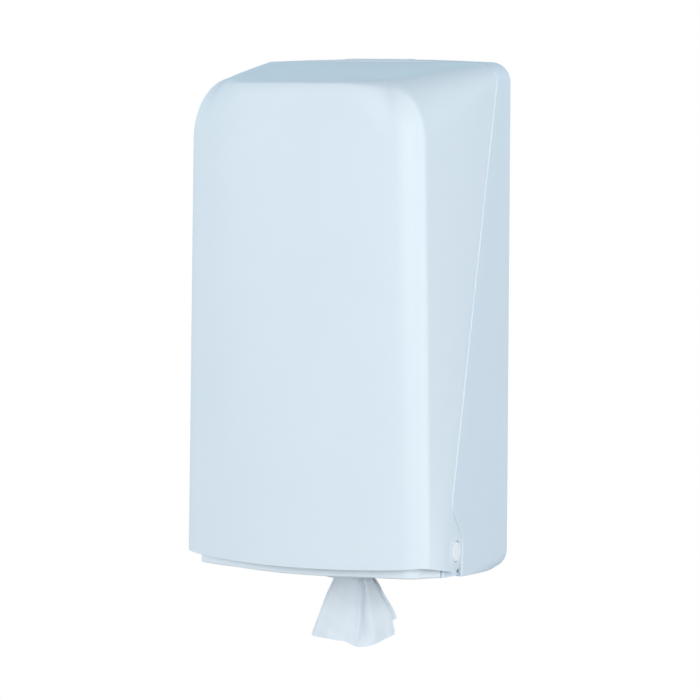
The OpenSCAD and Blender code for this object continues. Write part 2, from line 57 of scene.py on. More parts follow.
# Body and front cover
HALF_W = 85.0
BODY_H = 332.6
BODY_D = 171.4
WALL = 2.5
TOP_CROWN = 1.7
COVER_CROWN = 0.3  # the cover's top is flatter than the case's, whose edge shows above it
CROWN_R = (71.5**2 + TOP_CROWN**2) / (2 * TOP_CROWN)
BOW_R = 146.0
CORNER_R = 26.0
REAR_CORNER_R = 13.0
BROW_R = 10.0
FRONT_TOP = BODY_H - 9.8
FRONT_LEAN = 4.4
LOW_X = HALF_W - 2.6 - CORNER_R
TOP_X = HALF_W - 8.2 - CORNER_R
CORNER_TOP = FRONT_TOP - CORNER_R
CASE_ROOF_D = 23.6
SEAM_LOW = (110.8, 59.0)
SEAM_SLOPE = (110.0 - CASE_ROOF_D) / (BODY_H - SEAM_LOW[1])
SEAM_GAP = 0.8
SEAM_TURN_R = 10.8
SKIRT_Z = 28.4
SKIRT_DIP_D = 145.0
PIVOT = (102.8, 31.2)
LOBE_R = 13.0
WEB_END = (81.0, PIVOT[0] + 11)  # distance from the middle and depth of the web below each ear

# Hinge, outlet and paper
EAR_IN = 79.9
RECESS_X = 82.9
PIN_HEAD_R = 6.3
BUSH_R = 5.0
OUTLET_D = 70.0
TRAY_Z = 32.0
MOUTH_R = 13.5
MOUTH_Z = 6.5
ROLL_R = 62.0
ROLL_H = 205.0
ROLL_Z = TRAY_Z + 4.5
CORE_R = 20.0
SHEET_W = 205.0  # the tissue is as wide as the roll is high
UNDER_SLOPE = math.tan(math.radians(8.1))
CHIN_Z = 22.2
OFF_UNDERSIDE = 4.0  # edges of the case that lie nearer to its underside stay sharp

# Latch, catch and screws
CATCH_TOP = BODY_H + TOP_CROWN - 11.7
CATCH_POST = (5.5, 40.0)  # distance from the middle and depth of the catch's bosses and screws
LATCH_POST_Z = BODY_H + TOP_CROWN - 29.7
SPRING_WIRE, SPRING_TURNS, LATCH_TRAVEL = 0.45, 6, 5.0
RING_SCREW_R = 43.6
TRAY_SCREWS = [(x, d, d * UNDER_SLOPE + 0.85) for x in (-64, 64) for d in (20, 76)]
RING_SCREWS = [
    (RING_SCREW_R * math.cos(a), OUTLET_D - RING_SCREW_R * math.sin(a), TRAY_Z + 2.02)
    for a in map(math.radians, (90, 210, 330))
]
LATCH_SCREWS = [(x, 10.65, LATCH_POST_Z) for x in (-29, 29)]
CATCH_SCREWS = [(s * CATCH_POST[0], CATCH_POST[1], CATCH_TOP - 2.55) for s in (-1, 1)]


def linear(hex_colour):
    """An sRGB hex value as linear RGBA."""
    parts = [int(hex_colour[i : i + 2], 16) / 255 for i in (1, 3, 5)]
    return [c / 12.92 if c <= 0.04045 else ((c + 0.055) / 1.055) ** 2.4 for c in parts] + [1.0]


def put(tree, kind, inputs=None, **settings):
    """Adds a node with its settings; each input is a value or another node's output."""
    made = tree.nodes.new(kind)
    for name, value in settings.items():
        setattr(made, name, value)
    for socket, value in (inputs or {}).items():
        if isinstance(value, bpy.types.NodeSocket):
            tree.links.new(value, made.inputs[socket])
        else:
            made.inputs[socket].default_value = value
    return made


def row(points):
    """Points given as (x, depth, height) in millimetres, in the frame's metres."""
    p = np.asarray(points, float)
    return np.stack([p[..., 0], -p[..., 1], p[..., 2] - FIXING_Z], -1) * MM


# Materials
FLOW_MM = 45.0  # spacing of the slow drift of tone in moulded plastic
GLOSS_DRIFT = 0.05  # how far its gloss varies with the tone
WAVE_MM = 314.0  # a wave texture of scale 1 repeats about every 0.314 of a unit, here a metre


def new_material(name):
    mat = bpy.data.materials.new(name)
    mat.use_nodes = True
    return mat, mat.node_tree, mat.node_tree.nodes["Principled BSDF"]


def moulded_plastic(name, colour, shade, rough, grain_mm, grain_depth, ior=1.53):
    """Injection-moulded plastic: a satin skin with the fine grain of a spark-eroded mould, a slow
    drift of tone from the flow of the melt, and gloss that varies a little with it."""
    mat, tree, shader = new_material(name)
    place = put(tree, "ShaderNodeTexCoord").outputs["Object"]
    cloud = put(tree, "ShaderNodeTexNoise", {"Vector": place, "Scale": 1000 / FLOW_MM, "Detail": 3.0})
    grain = put(tree, "ShaderNodeTexNoise", {"Vector": place, "Scale": 1000 / grain_mm, "Detail": 2.0})
    tone = put(
        tree, "ShaderNodeMix",
        {0: cloud.outputs[0], 6: linear(colour), 7: linear(shade)}, data_type="RGBA",
    )
    gloss = put(
        tree, "ShaderNodeMapRange",
        {"Value": cloud.outputs[0], "To Min": rough - GLOSS_DRIFT, "To Max": rough + GLOSS_DRIFT},
    )
    relief = put(
        tree, "ShaderNodeBump",
        {"Strength": 1.0, "Distance": grain_depth * MM, "Height": grain.outputs[0]},
    )
    for socket, output in (("Base Color", tone.outputs[2]), ("Roughness", gloss.outputs[0]),
                           ("Normal", relief.outputs[0])):
        tree.links.new(output, shader.inputs[socket])
    shader.inputs["IOR"].default_value = ior
    return mat


# Glossy satin ABS in a cold white: the tall cover, with a soft skin that shows broad highlights
COVER_ABS = moulded_plastic("abs_cold_white_satin", "#dde9f0", "#d9e6ee", 0.30, 0.9, 0.0015)
# The same ABS from the deeper rear mould, a touch bluer and less polished
CASE_ABS = moulded_plastic("abs_cold_white_case", "#d8e6f0", "#d3e2ed", 0.34, 0.9, 0.002)
# The tray's ABS is paler than the cover's. This is painted light that lifts the chin strip out of the shadow
# under the cover's lower edge
TRAY_ABS_LIGHTENED = moulded_plastic("abs_cold_white_tray", "#e5eff5", "#e1ecf3", 0.38, 1.0, 0.012)
# Acetal is white and slicker than the ABS, and its colour is raised to near pure white, a painted highlight,
# so the hinge buttons stand out
PIN_ACETAL_PAINTED_HIGHLIGHT = moulded_plastic("acetal_white_polished", "#f8fcff", "#f3f9fd", 0.22, 0.7, 0.004)
BUSH_ACETAL = moulded_plastic("acetal_ivory_bush", "#eceae0", "#e5e3d8", 0.28, 0.7, 0.005)
LATCH_ACETAL = moulded_plastic("acetal_grey_latch", "#b9c2ca", "#b0bac3", 0.32, 0.7, 0.006)
NOZZLE_PP = moulded_plastic("polypropylene_white_nozzle", "#dfe7ed", "#d6e0e8", 0.42, 0.8, 0.012, ior=1.49)


def drawn_steel(name, colour, shade, rough, grain_mm):
    """Steel with a thin passivated zinc skin: tiny crystals change its tone and its gloss."""
    mat, tree, shader = new_material(name)
    place = put(tree, "ShaderNodeTexCoord").outputs["Object"]
    spangle = put(tree, "ShaderNodeTexVoronoi", {"Vector": place, "Scale": 1000 / grain_mm})
    tone = put(
        tree, "ShaderNodeMix",
        {0: spangle.outputs["Distance"], 6: linear(colour), 7: linear(shade)}, data_type="RGBA",
    )
    gloss = put(
        tree, "ShaderNodeMapRange",
        {"Value": spangle.outputs["Distance"], "To Min": rough - 0.06, "To Max": rough + 0.08},
    )
    tree.links.new(tone.outputs[2], shader.inputs["Base Color"])
    tree.links.new(gloss.outputs[0], shader.inputs["Roughness"])
    shader.inputs["Metallic"].default_value = 1.0
    return mat


ZINC_STEEL = drawn_steel("steel_zinc_passivated", "#c9cccf", "#a9adb2", 0.34, 0.5)
SPRING_STEEL = drawn_steel("steel_spring_drawn", "#b7bbbf", "#8e9398", 0.28, 0.3)


def creped_tissue(name, colour, shade, crepe_mm, ring_mm=None):
    """Creped tissue paper: soft and matt, with fine creases across the way it was dried.
    On the roll the turns show as rings on the ends."""
    mat, tree, shader = new_material(name)
    coords = put(tree, "ShaderNodeTexCoord")
    place = coords.outputs["Object"]
    fibre = put(tree, "ShaderNodeTexNoise", {"Vector": place, "Scale": 1000 / 1.2, "Detail": 5.0})
    bands = put(
        tree, "ShaderNodeTexWave",
        {"Vector": coords.outputs["UV"] if ring_mm is None else place, "Scale": WAVE_MM / (2 * crepe_mm),
         "Distortion": 4.0, "Detail": 3.0, "Detail Scale": 2.0},
        bands_direction="Y" if ring_mm is None else "Z",
    )
    height = bands.outputs[1]
    if ring_mm is not None:
        middle = put(tree, "ShaderNodeMapping", {"Vector": place, "Location": (0.0, OUTLET_D * MM, 0.0)})
        rings = put(
            tree, "ShaderNodeTexWave",
            {"Vector": middle.outputs[0], "Scale": WAVE_MM / (2 * ring_mm),
             "Distortion": 1.5, "Detail": 2.0},
            wave_type="RINGS", rings_direction="Z",
        )
        normal = put(tree, "ShaderNodeNewGeometry").outputs["Normal"]
        facing = put(tree, "ShaderNodeSeparateXYZ", {0: normal})
        on_end = put(tree, "ShaderNodeMath", {0: facing.outputs["Z"]}, operation="ABSOLUTE")
        height = put(
            tree, "ShaderNodeMix", {0: on_end.outputs[0], 2: height, 3: rings.outputs[1]}, data_type="FLOAT"
        ).outputs[0]
    both = put(tree, "ShaderNodeMath", {0: height, 1: fibre.outputs[0]}, operation="ADD")
    share = put(tree, "ShaderNodeMath", {0: both.outputs[0], 1: 0.5}, operation="MULTIPLY")
    tone = put(
        tree, "ShaderNodeMix",
        {0: share.outputs[0], 6: linear(shade), 7: linear(colour)}, data_type="RGBA",
    )
    relief = put(
        tree, "ShaderNodeBump",
        {"Strength": 0.3, "Distance": 0.08 * MM, "Height": both.outputs[0]},
    )
    tree.links.new(tone.outputs[2], shader.inputs["Base Color"])
    tree.links.new(relief.outputs[0], shader.inputs["Normal"])
    shader.inputs["Roughness"].default_value = 0.92
    shader.inputs["Specular IOR Level"].default_value = 0.15
    shader.inputs["Sheen Weight"].default_value = 0.12
    shader.inputs["Sheen Roughness"].default_value = 0.6
    return mat


# Creases and the ridges between them are 0.8 mm wide, wider than on real tissue, so that they show
TAIL_TISSUE = creped_tissue("tissue_creped_tail", "#e6eef4", "#e1eaf1", 0.8)
ROLL_TISSUE = creped_tissue("tissue_creped_roll", "#eef3f7", "#dfe7ee", 0.8, 1.3)

# Making and finishing pieces
AXIS_R = 0.01  # a turned profile that closes on its axis ends this near it


def new_piece(name, verts, faces, mats):
    mesh = bpy.data.meshes.new(name)
    mesh.from_pydata([tuple(v) for v in verts], [], faces)
    for mat in mats if isinstance(mats, (list, tuple)) else [mats]:
        mesh.materials.append(mat)
    obj = bpy.data.objects.new(name, mesh)
    bpy.context.scene.collection.objects.link(obj)
    return obj


def smooth(mesh, sharp_deg):
    mesh.shade_smooth()
    mesh.set_sharp_from_angle(angle=math.radians(sharp_deg))


def plain_mesh(obj, sharp_deg=35.0):
    """Applies an object's modifiers by taking its evaluated mesh, then drops them."""
    bpy.context.view_layer.update()
    made = bpy.data.meshes.new_from_object(obj.evaluated_get(bpy.context.evaluated_depsgraph_get()))
    obj.modifiers.clear()
    old, obj.data = obj.data, made
    made.name = obj.name
    bpy.data.meshes.remove(old)
    smooth(made, sharp_deg)
    return obj


def settle(obj, body, slot, *replaced):
    """The piece rides on its body and stands for its CAD nodes; the slot is not used."""
    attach(obj, body)
    if replaced:
        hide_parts(*replaced)
    return obj


def lathe(profile, turns=64):
    """Vertices and faces of a closed profile of (radius, height) turned round the z axis."""
    n = len(profile)
    verts, faces = [], []
    for i in range(turns):
        a = 2 * math.pi * i / turns
        verts += [(r * math.cos(a), r * math.sin(a), z) for r, z in profile]
    for i in range(turns):
        j = (i + 1) % turns
        for k in range(n):
            m = (k + 1) % n
            faces.append((i * n + k, j * n + k, j * n + m, i * n + m))
    return verts, faces


# Front cover


def corner_axis(z):
    """Middle of the front's upright corner at a height."""
    k = np.asarray(z) / CORNER_TOP
    low_d = BODY_D - BOW_R + math.sqrt((BOW_R - CORNER_R) ** 2 - LOW_X**2)
    top_d = BODY_D - BOW_R + math.sqrt((BOW_R - CORNER_R) ** 2 - TOP_X**2) - FRONT_LEAN
    return LOW_X + (TOP_X - LOW_X) * k, low_d + (top_d - low_d) * k


def flat_edge(z):
    """Depth at which the side stops being flat and flush with the case."""
    lobe_front = PIVOT[0] + LOBE_R
    top = BODY_H - REAR_CORNER_R
    k = np.clip((top - np.asarray(z)) / (top - PIVOT[1]), 0, 1)
    return CASE_ROOF_D + (lobe_front - CASE_ROOF_D) * k


SIDE_POWER = 1.4  # how the side curves from its flat part to the corner
DIP_BLEND = 0.7  # rounds the kink where the lower edge starts to dip


def side_turn(z):
    """Angle at which the side runs into the corner."""
    ax, ad = corner_axis(z)
    d0 = flat_edge(z)
    a = np.full_like(np.asarray(z, float), 0.08)  # a first guess
    for _ in range(40):
        a = np.arctan(SIDE_POWER * (HALF_W - ax - CORNER_R * np.cos(a)) / (ad + CORNER_R * np.sin(a) - d0))
    return a


def side_end(z):
    """Depth at which the side runs into the corner."""
    return corner_axis(z)[1] + CORNER_R * np.sin(side_turn(z))


def side_x(d, z):
    ax, ad = corner_axis(z)
    a = side_turn(z)
    xe, de = ax + CORNER_R * np.cos(a), ad + CORNER_R * np.sin(a)
    d0 = flat_edge(z)
    return HALF_W - (HALF_W - xe) * np.clip((d - d0) / (de - d0), 0, 1.2) ** SIDE_POWER


def ease(t):
    """Goes smoothly from 0 to 1."""
    t = np.clip(t, 0.0, 1.0)
    return t * t * (3 - 2 * t)


def brow_radius(k):
    """Radius of the edge between front and top: k is 0 in the middle and 1 at the corner."""
    return BROW_R + (CORNER_R - BROW_R) * ease((k - 0.5) / 0.5)


def seam_crown(x):
    """Height of the cover's top beside the case."""
    return BODY_H + COVER_CROWN - COVER_CROWN / TOP_CROWN * np.asarray(x) ** 2 / (2 * CROWN_R)


def roof_z(x, d):
    """Height of the cover's top: crowned at the case, straight across at the front."""
    k = np.minimum(np.abs(x) / TOP_X, 1.0)
    front_d = BODY_D - BOW_R - FRONT_LEAN + np.sqrt((BOW_R - BROW_R) ** 2 - (k * TOP_X) ** 2)
    rear = seam_crown(x)
    return rear + (FRONT_TOP - rear) * (d - CASE_ROOF_D) / (front_d - CASE_ROOF_D)


def roof_normal(x, d):
    h = 0.05
    gx = (roof_z(x + h, d) - roof_z(x - h, d)) / (2 * h)
    gd = (roof_z(x, d + h) - roof_z(x, d - h)) / (2 * h)
    n = np.array([-gx, -gd, 1.0])
    return n / np.linalg.norm(n)


def seam_d(z):
    return CASE_ROOF_D + (BODY_H - z) * SEAM_SLOPE + SEAM_GAP


def tangent_angle(p, side):
    """Angle on the ear's rim at which a line from p touches it."""
    v = np.subtract(p, PIVOT)
    return math.atan2(v[1], v[0]) + side * math.acos(LOBE_R / np.hypot(*v))


LOW_TOUCH = tangent_angle((SKIRT_DIP_D, SKIRT_Z), -1)
REAR_TOUCH = tangent_angle(SEAM_LOW, 1)


def low_edge(d):
    """Height of the cover's lower edge: level in front, dipping to the ear."""
    touch = PIVOT[1] + LOBE_R * math.sin(LOW_TOUCH)
    touch_d = PIVOT[0] + LOBE_R * math.cos(LOW_TOUCH)
    slope = (SKIRT_Z - touch) / (SKIRT_DIP_D - touch_d)
    line = SKIRT_Z + (d - SKIRT_DIP_D) * slope
    return 0.5 * (SKIRT_Z + line - np.sqrt((SKIRT_Z - line) ** 2 + DIP_BLEND**2))


SIDE_N, ARC_N, BOW_N = 30, 26, 34  # columns on the side, round the corner and to the front's middle
EAR_N, RAMP_N, SEAM_N = 22, 10, 60  # rows by the ear, its ramp and the seam
RAMP_ROWS = (50.0, 69.0)  # heights of the ramp's rows where they reach the front corner
TURN_N, EDGE_N = 16, 20  # rows round the turn of the top edge, and with its run along the top
WIDE_TURN, TIGHT_TURN = 1.8, 0.3  # the edge turns slowly off the wall, then tightly onto the top
TURN_FROM, TURN_OVER = 0.16, 0.3  # where in the turn that change begins, and over which share of it
# Share of that change of radius: the brow has all of it, the sides' edges and the corners little
SIDE_CRISP, CORNER_CRISP = 0.22, 0.06
CORNER_TALL = 1.5  # the edge at the corners is this much higher than it is wide


def edge_curve(start, n0, n1, r, crisp, tall):
    """Points over the edge between a wall and the top, from the wall's normal n0 to the top's n1,
    and on along the top to the edge's whole reach r."""
    full = math.acos(np.clip(n0 @ n1, -1, 1))
    side = (n1 - n0 * math.cos(full)) / math.sin(full)
    points, here = [start], np.array(start, float)
    steps = 12
    for k in range(TURN_N):
        for s in range(steps):
            f = (k + (s + 0.5) / steps) / TURN_N
            bend = f * full
            turn = WIDE_TURN + (TIGHT_TURN - WIDE_TURN) * ease((f - TURN_FROM) / TURN_OVER)
            radius = r * (1 + crisp * (turn - 1))
            along = side * math.cos(bend) - n0 * math.sin(bend)
            here = here + along * (1, 1, tall) * radius * full / (TURN_N * steps)
        points.append(here.copy())
    level = n0[:2] / np.hypot(*n0[:2])
    run = (r - (start - here)[:2] @ level) / (EDGE_N - TURN_N)
    for _ in range(EDGE_N - TURN_N):
        here = here - np.append(level * run, 0)
        here[2] = float(roof_z(*here[:2]))
        points.append(here.copy())
    return points


def column_wall(kind, k, z):
    """A point and the outward normal on the cover's wall: at depth k on the side, or at share k of
    the corner's or the bow's turn."""
    if kind == "side":
        d, h = k, 0.2
        x = float(side_x(d, z))
        gd = float(side_x(d + h, z) - side_x(d - h, z)) / (2 * h)
        gz = float(side_x(d, z + h) - side_x(d, z - h)) / (2 * h)
        n = np.array([1.0, -gd, -gz])
        return np.array([x, d, z]), n / np.linalg.norm(n)
    ax, ad = (float(v) for v in corner_axis(z))
    a0 = float(side_turn(z))
    lean = FRONT_LEAN * z / CORNER_TOP
    a1 = math.atan2(ad - (BODY_D - BOW_R - lean), ax)
    if kind == "arc":
        a = a0 + (a1 - a0) * k
        n = np.array([math.cos(a), math.sin(a), 0.0])
        p = np.array([ax, ad, z]) + CORNER_R * n
    else:
        a = a1 + (math.pi / 2 - a1) * k
        n = np.array([math.cos(a), math.sin(a), 0.0])
        p = np.array([0, BODY_D - BOW_R - lean, z]) + BOW_R * n
    lean_back = corner_axis(CORNER_TOP)[1] - corner_axis(0)[1]
    tilt = np.array([(TOP_X - LOW_X) / CORNER_TOP, lean_back / CORNER_TOP, 1])
    if kind == "bow":
        tilt = np.array([0, -FRONT_LEAN / CORNER_TOP, 1])
    tilt = tilt / np.linalg.norm(tilt)
    n = n - (n @ tilt) * tilt
    return p, n / np.linalg.norm(n)


def top_start(kind, k, r, crisp, tall):
    """Height at which a column's wall begins to turn into the top, and its edge's points."""
    z = FRONT_TOP - r
    for _ in range(12):
        d_or_k = k
        if kind == "side":
            d_or_k = seam_d(z) + k * (float(side_end(z)) - seam_d(z))
        p, n0 = column_wall(kind, d_or_k, z)
        n1 = roof_normal(*(p - r * n0)[:2])
        points = edge_curve(p, n0, n1, r, crisp, tall)
        z -= points[TURN_N][2] - float(roof_z(*points[TURN_N][:2]))
    return z, points


def rounded_turn(before, corner, after, r, n):
    """Points on an arc that rounds the corner between two lines, from the first line to the second."""
    corner = np.array(corner)
    u, v = (np.array(p) - corner for p in (before, after))
    u, v = u / np.linalg.norm(u), v / np.linalg.norm(v)
    half = math.acos(np.clip(u @ v, -1, 1)) / 2
    middle = corner + (u + v) / np.linalg.norm(u + v) * r / math.sin(half)
    start, end = (np.array(corner + w * r / math.tan(half)) - middle for w in (u, v))
    bend = math.pi - 2 * half
    return [middle + (start * math.sin(bend * (1 - t)) + end * math.sin(bend * t)) / math.sin(bend)
            for t in np.linspace(0, 1, n + 1)]


def cover_grid():
    """Right half of the cover's outside as columns from the seam to the middle of the front."""
    columns, tops = [], []
    specs = [("side", i / SIDE_N) for i in range(SIDE_N + 1)]
    specs += [("arc", i / ARC_N) for i in range(1, ARC_N + 1)]
    specs += [("bow", i / BOW_N) for i in range(1, BOW_N + 1)]
    for kind, k in specs:
        if kind == "side":
            near = ease(k)  # how near the corner
            r = REAR_CORNER_R + (CORNER_R - REAR_CORNER_R) * (1 - (1 - k) ** 1.6)
            crisp = CORNER_CRISP * near + SIDE_CRISP * ease(k / 0.3) * (1 - ease((k - 0.6) / 0.4))
        elif kind == "arc":
            near, r, crisp = 1.0, CORNER_R, CORNER_CRISP
        else:
            near = 1 - ease(k / 0.5)
            r = brow_radius(1 - k)
            crisp = 1 + (CORNER_CRISP - 1) * near
        tops.append(top_start(kind, k, r, crisp, 1 + (CORNER_TALL - 1) * near))
    # All columns of the corner meet in one point on the top
    pole = tops[SIDE_N + ARC_N // 2][1][-1]
    for i in range(SIDE_N, SIDE_N + ARC_N + 1):
        for s, p in enumerate(tops[i][1]):
            p += (pole - tops[i][1][-1]) * (s / EDGE_N) ** 2 if s < EDGE_N else 0
        tops[i][1][-1] = pole.copy()

    # Rows up the corner's rear edge, and what they meet on the ear and the seam
    z_low = float(low_edge(side_end(SKIRT_Z)))
    z_top = tops[SIDE_N][0]
    marks = np.concatenate([
        np.linspace(z_low, RAMP_ROWS[0], EAR_N, endpoint=False),
        np.linspace(*RAMP_ROWS, RAMP_N, endpoint=False),
        np.linspace(RAMP_ROWS[1], z_top, SEAM_N + 1),
    ])
    share = (marks - z_low) / (z_top - z_low)
    ear = [
        (PIVOT[0] + LOBE_R * math.cos(a), PIVOT[1] + LOBE_R * math.sin(a))
        for a in np.linspace(LOW_TOUCH, REAR_TOUCH - 2 * math.pi, EAR_N + 1)
    ]
    seam_top = (float(tops[0][1][0][1]), tops[0][0])
    turn = rounded_turn(ear[-1], SEAM_LOW, seam_top, SEAM_TURN_R, RAMP_N - 3)
    ramp = [tuple(np.array(ear[-1]) + (turn[0] - ear[-1]) * t) for t in (1 / 3, 2 / 3)]
    ramp += [tuple(p) for p in turn]
    up_seam = np.linspace(0, 1, SEAM_N + 1)[1:]
    seam = [tuple(turn[-1] + (np.array(seam_top) - turn[-1]) * t) for t in up_seam]
    rear = np.array(ear + ramp + seam)
    zf = z_low + share * (z_top - z_low)
    front = np.stack([side_end(zf), zf], -1)
    low = np.array([rear[0] + (front[0] - rear[0]) * i / SIDE_N for i in range(SIDE_N + 1)])
    top = np.array([(tops[i][1][0][1], tops[i][0]) for i in range(SIDE_N + 1)])
    for i, (kind, k) in enumerate(specs):
        z_f, edge = tops[i]
        if kind == "side":
            v = share[:, None]
            dz = (1 - k) * rear + k * front + (1 - v) * low[i] + v * top[i]
            dz -= (1 - v) * ((1 - k) * rear[0] + k * front[0]) + v * ((1 - k) * rear[-1] + k * front[-1])
            wall = np.stack([side_x(dz[:, 0], dz[:, 1]), dz[:, 0], dz[:, 1]], -1)
        else:
            foot, _ = column_wall(kind, k, SKIRT_Z)
            z0 = float(low_edge(foot[1]))
            wall = np.array([column_wall(kind, k, z0 + s * (z_f - z0))[0] for s in share])
        edge = np.array(edge)
        if kind == "side":
            edge[:, 1] += (1 - k) * (seam_d(edge[:, 2]) - seam_d(edge[0, 2]))
        columns.append(np.concatenate([wall[:-1], edge]))
    return np.array(columns)


def cover_skin():
    """Outside of the cover as one quad mesh with an open rear and underside."""
    half = cover_grid()
    mirror = half[:-1][::-1] * np.array([-1, 1, 1])
    strip = np.concatenate([half, mirror])
    cols, rows, _ = strip.shape
    verts = [tuple(p) for p in strip.reshape(-1, 3)]
    faces = []
    for i in range(cols - 1):
        for j in range(rows - 1):
            faces.append((i * rows + j, i * rows + j + 1, (i + 1) * rows + j + 1, (i + 1) * rows + j))
    # The top between the edges: from side to side in rows from the case to the brow
    last = rows - 1
    first_bow, last_bow = SIDE_N + ARC_N, cols - 1 - SIDE_N - ARC_N
    across = last_bow - first_bow
    rear_r, rear_l = strip[0, last], strip[cols - 1, last]
    brow_r, brow_l = strip[first_bow, last], strip[last_bow, last]
    index = {}
    for i in range(SIDE_N + 1):
        right, left = strip[i, last], strip[cols - 1 - i, last]
        for m in range(across + 1):
            if m == 0:
                index[i, m] = i * rows + last
            elif m == across:
                index[i, m] = (cols - 1 - i) * rows + last
            elif i == SIDE_N:
                index[i, m] = (first_bow + m) * rows + last
            else:
                t, s = m / across, i / SIDE_N
                brow = strip[first_bow + m, last]
                x0 = rear_r[0] + (rear_l[0] - rear_r[0]) * t
                rear_p = np.array([x0, seam_d(seam_crown(x0))])
                lr = right[:2] + (left[:2] - right[:2]) * t
                p = (1 - s) * rear_p + s * brow[:2] + lr
                p -= (1 - s) * (rear_r[:2] + (rear_l[:2] - rear_r[:2]) * t)
                p -= s * (brow_r[:2] + (brow_l[:2] - brow_r[:2]) * t)
                index[i, m] = len(verts)
                verts.append((p[0], p[1], float(roof_z(*p))))
    for i in range(SIDE_N):
        for m in range(across):
            faces.append((index[i, m], index[i + 1, m], index[i + 1, m + 1], index[i, m + 1]))
    return verts, faces


def on_hinge(profile, side):
    """A turned profile of (radius, distance from the middle) on the hinge axis of one side."""
    verts, faces = lathe(profile)
    placed = [(side * h, PIVOT[0] + a, PIVOT[1] + b) for a, b, h in verts]
    return placed, faces


def scratch_solid(name, parts):
    """One helper object from several closed parts, with its faces turned outwards."""
    verts, faces = [], []
    for v, f in parts:
        faces += [tuple(i + len(verts) for i in face) for face in f]
        verts += list(v)
    obj = new_piece(name, row(verts), faces, [])
    bm = bmesh.new()
    bm.from_mesh(obj.data)
    bmesh.ops.remove_doubles(bm, verts=bm.verts, dist=1e-7)
    bmesh.ops.recalc_face_normals(bm, faces=bm.faces)
    bm.to_mesh(obj.data)
    bm.free()
    return obj


def front_cover():
    verts, faces = cover_skin()
    cover = new_piece("cover_shell", row(verts), faces, COVER_ABS)
    bm = bmesh.new()
    bm.from_mesh(cover.data)
    bmesh.ops.remove_doubles(bm, verts=bm.verts, dist=1e-6)
    bmesh.ops.recalc_face_normals(bm, faces=bm.faces)
    bm.faces.ensure_lookup_table()
    middle = max(bm.faces, key=lambda f: -f.calc_center_median().y)
    if middle.normal.y > 0:
        bmesh.ops.reverse_faces(bm, faces=bm.faces)
    bm.to_mesh(cover.data)
    bm.free()
    wall = cover.modifiers.new("wall", "SOLIDIFY")
    wall.thickness, wall.offset = WALL * MM, -1
    rim = cover.modifiers.new("rim", "BEVEL")
    rim.width, rim.segments, rim.limit_method, rim.angle_limit = 0.5 * MM, 3, "ANGLE", math.radians(50)
    plain_mesh(cover)
    # Ear bosses with a coned collar round each hinge button, and the catch's two bosses
    foot_r, collar_r, top = LOBE_R - 1.2, PIN_HEAD_R + 1.1, HALF_W + 0.9
    boss_r, bore_r = BUSH_R + 4, PIN_HEAD_R + 0.4
    ear = [(AXIS_R, EAR_IN), (boss_r - 0.5, EAR_IN), (boss_r, EAR_IN + 0.5), (boss_r, HALF_W - 1.5),
           (foot_r, HALF_W - 1.2), (foot_r, HALF_W + 0.03), (foot_r - 0.5, HALF_W + 0.12),
           (collar_r + 0.3, top - 0.04), (collar_r, top), (AXIS_R, top)]
    bore = [(AXIS_R, EAR_IN - 2), (BUSH_R, EAR_IN - 2), (BUSH_R, RECESS_X), (bore_r, RECESS_X),
            (bore_r, top - 0.2), (bore_r + 0.2, top + 0.03), (bore_r + 0.2, top + 2), (AXIS_R, top + 2)]
    low, high, post_r = CATCH_TOP + 0.05, BODY_H - 2.5, 3.4
    post, post_faces = lathe([(AXIS_R, low), (post_r, low), (post_r, high), (AXIS_R, high)], 32)
    added, cut = [], []
    for s in (-1, 1):
        added.append(on_hinge(ear, s))
        cut.append(on_hinge(bore, s))
        added.append(([(x + s * CATCH_POST[0], y + CATCH_POST[1], z) for x, y, z in post], post_faces))
    for name, parts, mode in (("ear_bosses", added, "UNION"), ("ear_bores", cut, "DIFFERENCE")):
        tool = scratch_solid(name, parts)
        join = cover.modifiers.new(name, "BOOLEAN")
        join.operation, join.object, join.solver = mode, tool, "EXACT"
        plain_mesh(cover)
        bpy.data.objects.remove(tool)
    even = cover.modifiers.new("even_light", "WEIGHTED_NORMAL")
    even.keep_sharp = True
    return settle(cover, "cover", "cover_abs", "front_cover")


front_cover()

# Rigid nodes that keep their shape


def geometry_tree(name, **inputs):
    """A Geometry Nodes tree with a named input for each size; also gives its input node."""
    tree = bpy.data.node_groups.new(name, "GeometryNodeTree")
    tree.interface.new_socket("Geometry", in_out="OUTPUT", socket_type="NodeSocketGeometry")
    for socket, kind in (("Geometry", "Geometry"), *inputs.items()):
        tree.interface.new_socket(socket.replace("_", " "), in_out="INPUT", socket_type="NodeSocket" + kind)
    return tree, put(tree, "NodeGroupInput")


def run_tree(obj, tree, **values):
    """Puts a tree on an object, with its inputs set by their identifiers."""
    step = obj.modifiers.new(tree.name, "NODES")
    step.node_group = tree
    for item in tree.interface.items_tree:
        if item.in_out == "INPUT" and item.name.replace(" ", "_") in values:
            step[item.identifier] = values[item.name.replace(" ", "_")]
    return step


def smooth_faces():
    """Smooth shading, but for edges that turn by more than 40 degrees."""
    tree, start = geometry_tree("smooth_faces")
    angle = put(tree, "GeometryNodeInputMeshEdgeAngle")
    keen = put(tree, "FunctionNodeCompare", {0: angle.outputs["Unsigned Angle"], 1: math.radians(40)},
               data_type="FLOAT", operation="LESS_EQUAL")
    faces = put(tree, "GeometryNodeSetShadeSmooth",
                {"Geometry": start.outputs[0], "Shade Smooth": True}, domain="FACE")
    edges = put(tree, "GeometryNodeSetShadeSmooth",
                {"Geometry": faces.outputs[0], "Shade Smooth": keen.outputs[0]}, domain="EDGE")
    put(tree, "NodeGroupOutput", {0: edges.outputs[0]})
    return tree


